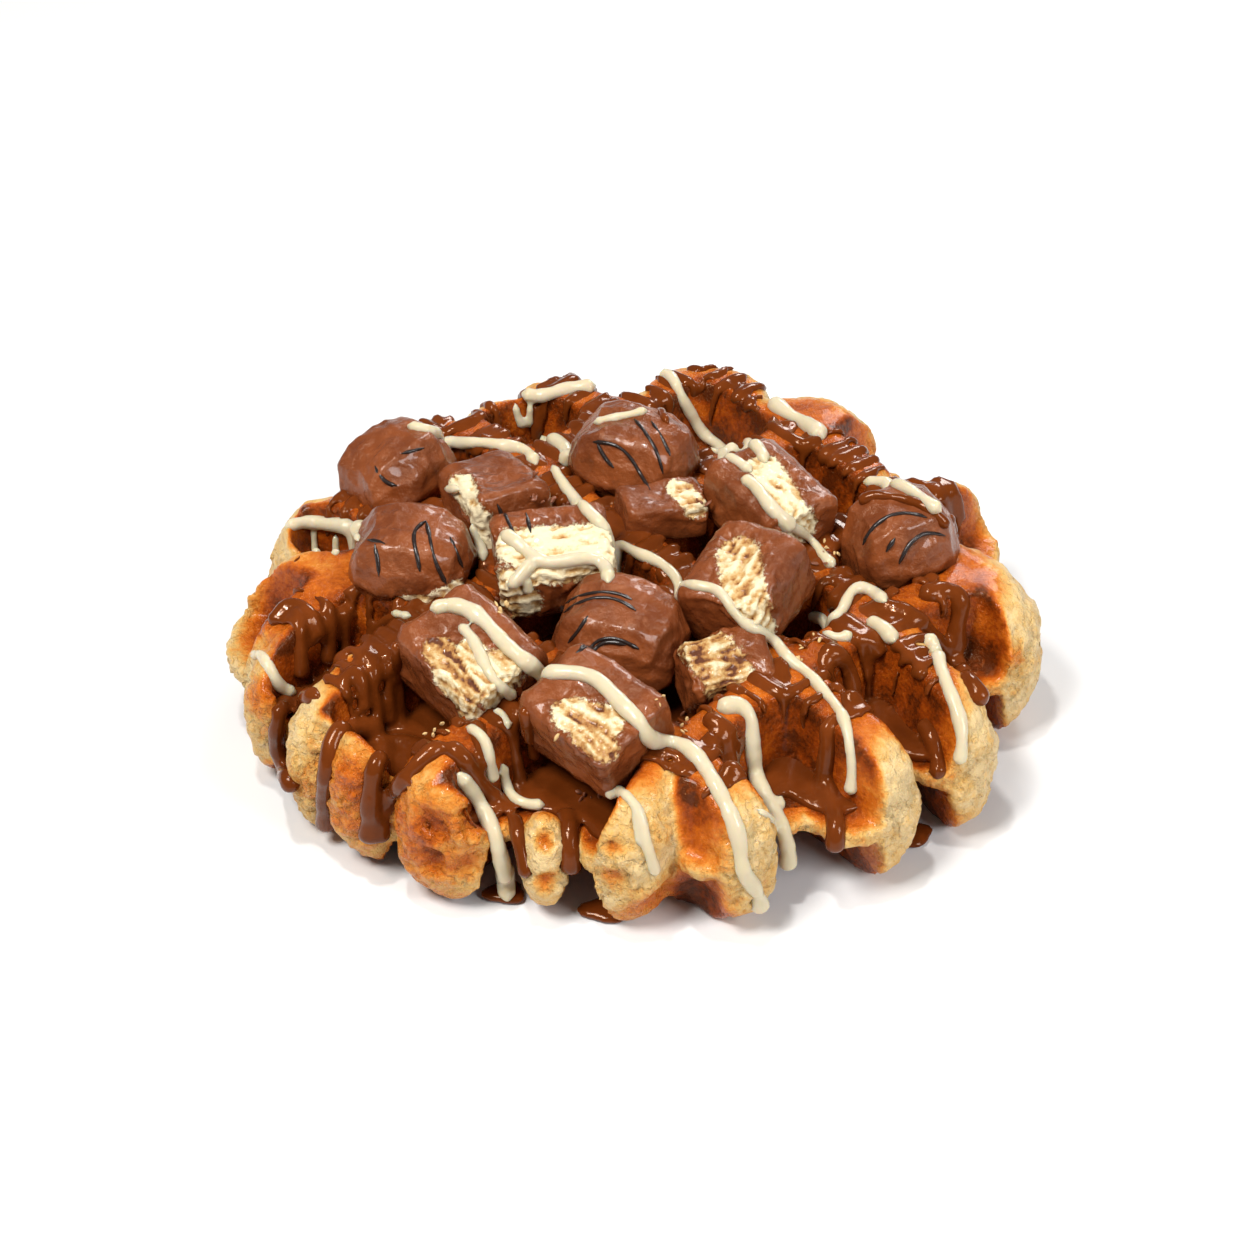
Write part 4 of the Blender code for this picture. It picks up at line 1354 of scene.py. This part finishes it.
def coat_depth(points, look):
    """How far inside the sauce's edge each point is, in millimetres, and how full its band is."""
    rng = random.Random(look.seed)
    best = np.full(len(points), 1e9)
    reach = np.full(len(points), -5.0)
    swell = np.zeros(len(points))
    patchy = CREST_UNEVENNESS * wobble(points, 8.0, 6.0)
    for start, end in ridge_lines():
        start = np.array(start, float)
        along = np.array(end, float) - start
        length = np.linalg.norm(along)
        along /= length
        across = np.array((-along[1], along[0]))
        offset = (points[:, :2] - start) @ across
        travel = (points[:, :2] - start) @ along
        apart = np.hypot(offset, np.maximum(0, np.maximum(-travel, travel - length)))
        near = np.nonzero(apart < np.minimum(best, RIDGE_REACH))[0]
        fall = look.coat_edge + patchy[near]
        thick = np.zeros(len(near))
        for side, middle, half_width, run in drip_bands(length, look, rng):
            share = np.clip(1 - ((travel[near] - middle) / half_width) ** 2, 0, 1)
            share *= offset[near] * side > -0.5
            fall = np.maximum(fall, np.where(share > 0, (run + 1.0) * np.sqrt(share), -9))
            thick = np.maximum(thick, share)
        best[near] = apart[near]
        reach[near] = fall
        swell[near] = thick
    radius = np.hypot(points[:, 0], points[:, 1])
    depth = reach - (crest_height(radius) - points[:, 2])
    rim = outline_radii(points) - radius + RIM_UNEVENNESS * wobble(points, 6.0)
    depth -= RIM_DRAWBACK * smoothstep(look.bare_rim + RIM_FADE, look.bare_rim - RIM_FADE, rim)
    return np.where(points[:, 2] < WEB_HIGH - 1.5, -6.0, depth), swell


def bare_depth(points, surface):
    """How much the sauce's edge draws back near the bare spots."""
    drawn = np.zeros(len(points))
    for spot, size in BARE_SPOTS:
        hit = spot_on(surface, spot)
        if hit is not None:
            apart = np.linalg.norm(points - np.array(hit), axis=1)
            drawn += SPOT_DRAWBACK * np.exp(-(apart / size) ** 4)
    return drawn


def sauce_coat(dough, look):
    """The milk chocolate that lies over the crests and runs down the pocket walls."""
    surface = surface_of(dough)
    work = bmesh.new()
    work.from_mesh(dough.data)
    points = plan_points(dough.data)
    depth = coat_depth(points, look)[0] - bare_depth(points, surface)
    work.verts.ensure_lookup_table()
    bare = [point for point in work.verts if depth[point.index] < -COAT_SKIRT]
    bmesh.ops.delete(work, geom=bare, context="VERTS")
    bmesh.ops.subdivide_edges(work, edges=work.edges, cuts=1, use_grid_fill=True)
    mesh = bpy.data.meshes.new("coat")
    work.to_mesh(mesh)
    work.free()
    points = plan_points(mesh)
    normals = point_normals(mesh)
    depth, swell = coat_depth(points, look)
    depth -= bare_depth(points, surface)
    full = look.coat_thickness / MM * (0.45 + 1.0 * swell)
    height = np.where(depth > 0, full * (1 - np.exp(-depth / COAT_ROUNDING)), depth * 0.25)
    set_plan_points(mesh, points + normals * np.maximum(height, -COAT_SINK)[:, None])
    coat = bpy.data.objects.new("coat", mesh)
    bpy.context.scene.collection.objects.link(coat)
    shell = coat.modifiers.new("shell", "SOLIDIFY")
    shell.thickness = COAT_SHELL * MM
    shell.offset = -1.0
    apply_modifiers(coat)
    return coat


def pool(place, height):
    """Sauce that has gathered on the floor of a pocket, short of the free edge."""
    corners = pocket_corners(*place)
    wall = CREST_HALF_WIDTH + (THICKNESS - height) * DRAFT
    outline = inset_outline(corners, wall - POOL_OVERLAP)
    outline = even_steps([*outline, outline[0]], 1.5)[:-1]
    for point in outline:
        azimuth = math.atan2(point.y, point.x)
        most = outline_radius(azimuth) - POOL_INSET
        if point.length > most:
            point.length = most
    middle = sum(outline, Vector((0, 0))) / len(outline)
    rings = []
    for share, level in POOL_RINGS:
        ring = []
        for point in outline:
            near = middle.lerp(point, share)
            wave = POOL_WAVES * noise.noise((*point / 6, height))
            ring.append((near.x, near.y, height + level + wave))
        rings.append(ring)
    return rings_object("pool", rings)


def puddle(spot, half_length, half_width):
    """A little sauce that has run onto the surface below."""
    eye, direction = sight_line(*spot)
    hit = eye + direction * (eye.z - PUDDLE_HEIGHT) / -direction.z
    rings = []
    for level, share in PUDDLE_RINGS:
        ring = []
        for step in range(PUDDLE_STEPS):
            turn = 2 * math.pi * step / PUDDLE_STEPS
            uneven = 1 + PUDDLE_UNEVENNESS * math.sin(3 * turn + half_length)
            ring.append((hit.x + half_length * share * uneven * math.cos(turn),
                         hit.y + half_width * share * uneven * math.sin(turn), hit.z + level))
        rings.append(ring)
    return rings_object("puddle", rings)


def bar_pieces():
    """The finished pieces of bar."""
    return [thing for thing in bpy.data.objects if thing.name.startswith("chopped_bar")]


def make_milk_sauce(look):
    """Coat, pools, thick strands and puddles of milk chocolate, fused into one skin."""
    drop_old("milk_sauce")
    dough = bpy.data.objects["waffle_dough"]
    surface = surface_of(dough, *bar_pieces())
    parts = [sauce_coat(dough, look)]
    parts += [pool(place[:3], place[3]) for place in POOLS]
    parts += [puddle(*place) for place in PUDDLES]
    parts += strand_tubes(MILK_STRANDS, look.milk_radius, surface, look.seed)
    sauce = fused("milk_sauce", parts, look.milk_mesh / MM, 6)
    colours = (look.milk, look.milk_light, look.milk_painted_shade)
    clad(sauce, sauce_material("milk_chocolate", colours, look.milk_sheen,
                               roughness=0.15, softness=0.04))
    settle(sauce)


def make_white_sauce(look):
    """White chocolate strands over everything, with thinner threads between."""
    drop_old("white_sauce")
    surface = surface_of(bpy.data.objects["waffle_dough"], bpy.data.objects["milk_sauce"],
                         *bar_pieces())
    tubes = strand_tubes(WHITE_STRANDS, look.white_radius, surface, look.seed + 1)
    sauce = fused("white_sauce", tubes, look.white_mesh / MM, 3)
    colours = (look.white, look.white_shade, look.white_painted_shade)
    clad(sauce, sauce_material("white_chocolate", colours, look.white_sheen,
                               roughness=0.2, softness=0.7))
    settle(sauce)


def make_dark_lines(look):
    """The thin dark lines that cross the bar's coating."""
    drop_old("dark_lines")
    surface = surface_of(*bar_pieces())
    radius = look.line_radius / MM
    runs = [run for route in DARK_LINES for run in strand_runs(route, surface, radius)]
    lines = strands("dark_lines", runs, radius, random.Random(look.seed))
    material, tree, shader = new_material("dark_chocolate", look.line, 0.25)
    bump(tree, shader, cloud(tree, 0.8), 0.1)
    grow_tree(lines, strand_tree(), {"Sides": 8, "Material": material})
    settle(lines)


def make_crumbs(look):
    """Crumbs of wafer and chips of chocolate on and between the pieces."""
    for name in ("wafer_crumbs", "chocolate_chips"):
        drop_old(name)
    surface = surface_of(bpy.data.objects["waffle_dough"], bpy.data.objects["milk_sauce"],
                         *bar_pieces())
    wafer, tree, shader = new_material("wafer_crumb", look.wafer, 0.75)
    bump(tree, shader, cloud(tree, 0.5), 0.3)
    chip, tree, shader = new_material("chocolate_chip", look.chip, 0.4)
    bump(tree, shader, cloud(tree, 0.7), 0.2)
    for name, spots, material, seed, slot in (
            ("wafer_crumbs", WAFER_CRUMBS, wafer, look.seed, "wafer"),
            ("chocolate_chips", CHOCOLATE_CHIPS, chip, look.seed + 5, "bar_coating")):
        points = []
        faces = []
        for spot, size in spots:
            hit = spot_on(surface, spot)
            if hit is None:
                continue
            start = len(points)
            for x, y in ((-1, -1), (1, -1), (1, 1), (-1, 1)):
                points.append(hit + Vector((x * size, y * size, 0.2)))
            faces.append((start, start + 1, start + 2, start + 3))
        bed = mesh_object(name, points, faces)
        grow_tree(bed, crumb_tree(), {
            "Density": look.density, "Least Size": look.least, "Most Size": look.most,
            "Seed": seed, "Material": material})
        settle(bed)


def area_light(name, place, aim, size, power, colour):
    """A soft square light that looks at a point."""
    light = bpy.data.lights.new(name, "AREA")
    light.size = size
    light.energy = power
    light.color = colour
    thing = bpy.data.objects.new(name, light)
    thing.location = place
    thing.rotation_euler = (Vector(place) - Vector(aim)).to_track_quat("Z", "Y").to_euler()
    bpy.context.scene.collection.objects.link(thing)


def make_stage(look):
    """A plain pale floor, soft light and a camera at the eye."""
    scene = bpy.context.scene
    half = look.floor_size / 2
    mesh = bpy.data.meshes.new("floor")
    mesh.from_pydata([(-half, -half, 0), (half, -half, 0), (half, half, 0), (-half, half, 0)],
                     [], [(0, 1, 2, 3)])
    floor = bpy.data.objects.new("floor", mesh)
    scene.collection.objects.link(floor)
    floor.data.materials.append(new_material("pale_floor", look.floor, 0.6)[0])
    world = bpy.data.worlds.new("soft_room")
    world.use_nodes = True
    background = world.node_tree.nodes["Background"]
    background.inputs["Color"].default_value = (1.0, 1.0, 1.0, 1.0)
    background.inputs["Strength"].default_value = look.room_light
    scene.world = world
    aim = (0.0, -0.02, 0.02)
    area_light("key", (-0.34, -0.3, 0.76), aim, 0.26, look.key_light, (1.0, 0.98, 0.95))
    area_light("glint", (-0.12, -0.06, 0.8), aim, 0.05, look.glint_light, (1.0, 0.98, 0.95))
    area_light("fill", (0.55, -0.45, 0.5), aim, 0.3, look.fill_light, (0.97, 0.98, 1.0))
    area_light("back", (0.25, 0.75, 0.45), aim, 0.25, look.back_light, (1.0, 1.0, 1.0))
    camera = bpy.data.cameras.new("camera")
    camera.lens = LENS
    camera.sensor_width = SENSOR
    camera.clip_start = 0.01
    eye, _ = sight_line(PICTURE_SIDE / 2, PICTURE_SIDE / 2)
    thing = bpy.data.objects.new("camera", camera)
    thing.location = (eye - BOX_MIDDLE) * MM
    thing.rotation_euler = (math.pi / 2 - EYE_FALL, 0, 0)
    scene.collection.objects.link(thing)
    scene.camera = thing
    scene.view_settings.view_transform = "Standard"


def colour_property(label, value, words):
    """A colour that a user can change."""
    return bpy.props.FloatVectorProperty(name=label, description=words, default=value,
                                         subtype="COLOR", min=0.0, max=1.0)


def length_property(label, value, words):
    """A length that a user can change."""
    return bpy.props.FloatProperty(name=label, description=words, default=value, min=0.0,
                                   subtype="DISTANCE", unit="LENGTH", precision=5)


class DoughSettings(bpy.types.PropertyGroup):
    """Mesh, relief and colours of the dough"""
    mesh_size: length_property("Mesh size", 0.00078, "Side of the dough's mesh squares")
    easing: bpy.props.IntProperty(name="Easing", description="How often the edges are eased",
                                  default=4, min=0, max=30)
    swell_depth: length_property("Swelling", 0.0010, "Height of the crust's broad swellings")
    grain_depth: length_property("Grain", 0.0006, "Height of the crust's grain")
    pore_depth: length_property("Pores", 0.0008, "Depth of the open pores on the free sides")
    pale: colour_property("Pale", (0.7, 0.51, 0.25), "Crust that the iron has not touched")
    cream: colour_property("Cream", (0.67, 0.395, 0.12), "Lightly coloured crust")
    golden: colour_property("Golden", (0.62, 0.22, 0.03), "Golden crust")
    amber: colour_property("Amber", (0.5, 0.11, 0.007), "Crust glazed with sugar")
    brown: colour_property("Brown", (0.27, 0.044, 0.003), "Well browned crust")
    deep: colour_property("Deep brown", (0.08, 0.014, 0.002), "The darkest crust")


class BarSettings(bpy.types.PropertyGroup):
    """Mesh, relief and colours of the pieces of bar"""
    mesh_size: length_property("Mesh size", 0.00036, "Side of the pieces' mesh squares")
    crumple: length_property("Crumple", 0.00045, "Height of the creases in the coating")
    ragged: length_property("Raggedness", 0.001, "Depth of the broken filling")
    coating: colour_property("Coating", (0.21, 0.052, 0.013), "Chocolate coating")
    coating_dark: colour_property("Dark coating", (0.145, 0.034, 0.009), "Coating in clouds")
    scuffed: colour_property("Scuffed", (0.34, 0.115, 0.047), "Coating where it is rubbed")
    wafer: colour_property("Wafer", (0.52, 0.32, 0.12), "Wafer sheets")
    # toasted wafer with painted shade, for the filling's folds
    wafer_dark_and_shade: colour_property("Toasted wafer", (0.36, 0.16, 0.045), "Wafer in its folds")
    cream: colour_property("Cream", (0.76, 0.66, 0.43), "Cream between the sheets")
    # chocolate between the sheets with painted shade, for the deepest hollows
    hollow_chocolate_and_shade: colour_property("Hollows", (0.1, 0.028, 0.012), "Chocolate deep between the sheets")


class SauceSettings(bpy.types.PropertyGroup):
    """Widths, reach and colours of the two sauces"""
    seed: bpy.props.IntProperty(name="Seed", description="Where the drips run", default=7)
    milk_radius: length_property("Milk strand", 0.0013, "Half the width of a milk strand")
    white_radius: length_property("White strand", 0.00125, "Half the width of a white strand")
    milk_mesh: length_property("Milk mesh", 0.0005, "Side of the milk sauce's mesh squares")
    white_mesh: length_property("White mesh", 0.0004, "Side of the white sauce's mesh squares")
    coat_thickness: length_property("Coat", 0.0007, "Thickness of the sauce on the crests")
    coat_edge: bpy.props.FloatProperty(name="Coat edge", default=-1.2,
                                       description="How far it reaches down in millimetres, "
                                                   "below 0 with bare crests between the bands")
    drip_length: bpy.props.FloatProperty(name="Drips", default=12.0,
                                         description="The longest drips, in millimetres")
    drip_spacing: bpy.props.FloatProperty(name="Drip spacing", default=3.7,
                                          description="From band to band, in millimetres")
    bare_rim: bpy.props.FloatProperty(name="Bare rim", default=6.0,
                                      description="Width of the bare free edge, in millimetres")
    milk: colour_property("Milk chocolate", (0.112, 0.023, 0.003), "Milk chocolate sauce")
    milk_light: colour_property("Thin milk chocolate", (0.15, 0.032, 0.005), "Where it is thinner")
    # painted shade: the milk chocolate's colour low in the inner pockets
    milk_painted_shade: colour_property("Deep milk chocolate", (0.05, 0.01, 0.002), "Low in the pockets")
    milk_sheen: colour_property("Milk sheen", (1.0, 0.6, 0.36), "Tint of the milk sauce's gloss")
    white: colour_property("White chocolate", (0.57, 0.5, 0.36), "White chocolate sauce")
    white_shade: colour_property("White shade", (0.55, 0.48, 0.325), "White chocolate in clouds")
    # painted shade: a warmer white chocolate colour low in the inner pockets
    white_painted_shade: colour_property("Deep white", (0.58, 0.5, 0.32), "White chocolate near the edge")
    white_sheen: colour_property("White sheen", (1.0, 0.95, 0.85), "Tint of the white gloss")


class LineSettings(bpy.types.PropertyGroup):
    """The thin dark lines"""
    seed: bpy.props.IntProperty(name="Seed", description="How the lines swell", default=4)
    line_radius: length_property("Line", 0.00036, "Half the width of a dark line")
    line: colour_property("Dark chocolate", (0.018, 0.011, 0.009), "Dark lines on the coating")


class CrumbSettings(bpy.types.PropertyGroup):
    """Sizes and colours of the crumbs and chips"""
    seed: bpy.props.IntProperty(name="Seed", description="Where the crumbs lie", default=3)
    density: bpy.props.FloatProperty(name="Density", description="Crumbs in a square metre",
                                     default=300000.0)
    least: length_property("Least crumb", 0.0002, "Radius of the smallest crumbs")
    most: length_property("Largest crumb", 0.0006, "Radius of the largest crumbs")
    wafer: colour_property("Wafer", (0.7, 0.47, 0.2), "Wafer crumbs")
    chip: colour_property("Chip", (0.2, 0.065, 0.03), "Chocolate chips")


class StageSettings(bpy.types.PropertyGroup):
    """Floor and lights"""
    floor_size: length_property("Floor", 6.0, "Side of the floor")
    floor: colour_property("Floor colour", (0.74, 0.74, 0.74), "The pale floor")
    room_light: bpy.props.FloatProperty(name="Room light", description="Light from all round",
                                        default=0.15)
    key_light: bpy.props.FloatProperty(name="Key light", description="Watts from the front left",
                                       default=7.5)
    glint_light: bpy.props.FloatProperty(name="Glint light", default=2.2,
                                         description="Watts from a small lamp above")
    fill_light: bpy.props.FloatProperty(name="Fill light", description="Watts from the front right",
                                        default=4.5)
    back_light: bpy.props.FloatProperty(name="Back light", description="Watts from behind",
                                        default=3.0)


class WAFFLE_OT_dough(bpy.types.Operator):
    """Make the baked dough"""
    bl_idname = "waffle.dough"
    bl_label = "Dough"

    def execute(self, context):
        make_dough(context.scene.waffle_dough)
        return {"FINISHED"}


class WAFFLE_OT_bar_pieces(bpy.types.Operator):
    """Make the chopped pieces of bar"""
    bl_idname = "waffle.bar_pieces"
    bl_label = "Bar pieces"

    def execute(self, context):
        make_bar_pieces(context.scene.waffle_bar)
        return {"FINISHED"}


class WAFFLE_OT_milk_sauce(bpy.types.Operator):
    """Make the milk chocolate sauce"""
    bl_idname = "waffle.milk_sauce"
    bl_label = "Milk chocolate sauce"

    def execute(self, context):
        make_milk_sauce(context.scene.waffle_sauce)
        return {"FINISHED"}


class WAFFLE_OT_white_sauce(bpy.types.Operator):
    """Make the white chocolate strands"""
    bl_idname = "waffle.white_sauce"
    bl_label = "White chocolate strands"

    def execute(self, context):
        make_white_sauce(context.scene.waffle_sauce)
        return {"FINISHED"}


class WAFFLE_OT_dark_lines(bpy.types.Operator):
    """Make the dark lines on the bar's coating"""
    bl_idname = "waffle.dark_lines"
    bl_label = "Dark lines"

    def execute(self, context):
        make_dark_lines(context.scene.waffle_lines)
        return {"FINISHED"}


class WAFFLE_OT_crumbs(bpy.types.Operator):
    """Scatter the crumbs and chips"""
    bl_idname = "waffle.crumbs"
    bl_label = "Crumbs"

    def execute(self, context):
        make_crumbs(context.scene.waffle_crumbs)
        return {"FINISHED"}


class WAFFLE_OT_stage(bpy.types.Operator):
    """Set up the floor, the lights and the camera"""
    bl_idname = "waffle.stage"
    bl_label = "Stage"

    def execute(self, context):
        make_stage(context.scene.waffle_stage)
        return {"FINISHED"}


SETTINGS = {
    "waffle_dough": DoughSettings, "waffle_bar": BarSettings, "waffle_sauce": SauceSettings,
    "waffle_lines": LineSettings, "waffle_crumbs": CrumbSettings, "waffle_stage": StageSettings,
}
OPERATORS = (
    WAFFLE_OT_dough, WAFFLE_OT_bar_pieces, WAFFLE_OT_milk_sauce, WAFFLE_OT_white_sauce,
    WAFFLE_OT_dark_lines, WAFFLE_OT_crumbs, WAFFLE_OT_stage,
)


class WAFFLE_PT_pieces(bpy.types.Panel):
    """The waffle's pieces, in the order in which they are made"""
    bl_label = "Liege waffle"
    bl_idname = "WAFFLE_PT_pieces"
    bl_space_type = "VIEW_3D"
    bl_region_type = "UI"
    bl_category = "Waffle"

    def draw(self, context):
        for operator in OPERATORS:
            self.layout.operator(operator.bl_idname)
        for name, group in SETTINGS.items():
            box = self.layout.box()
            box.label(text=name.replace("_", " "))
            for setting in group.__annotations__:
                box.prop(getattr(context.scene, name), setting)


def register():
    """Add the settings, operators and panel, and each group of settings to the scene."""
    for group in (*SETTINGS.values(), *OPERATORS, WAFFLE_PT_pieces):
        bpy.utils.register_class(group)
    for name, group in SETTINGS.items():
        setattr(bpy.types.Scene, name, bpy.props.PointerProperty(type=group))


def unregister():
    """Take out again what register added."""
    for name in SETTINGS:
        delattr(bpy.types.Scene, name)
    for group in (WAFFLE_PT_pieces, *reversed(OPERATORS), *SETTINGS.values()):
        bpy.utils.unregister_class(group)


def main():
    """Make every piece in order."""
    register()
    bpy.ops.waffle.dough()
    bpy.ops.waffle.bar_pieces()
    bpy.ops.waffle.milk_sauce()
    bpy.ops.waffle.white_sauce()
    bpy.ops.waffle.dark_lines()
    bpy.ops.waffle.crumbs()
    bpy.ops.waffle.stage()


if __name__ == "__main__":
    main()
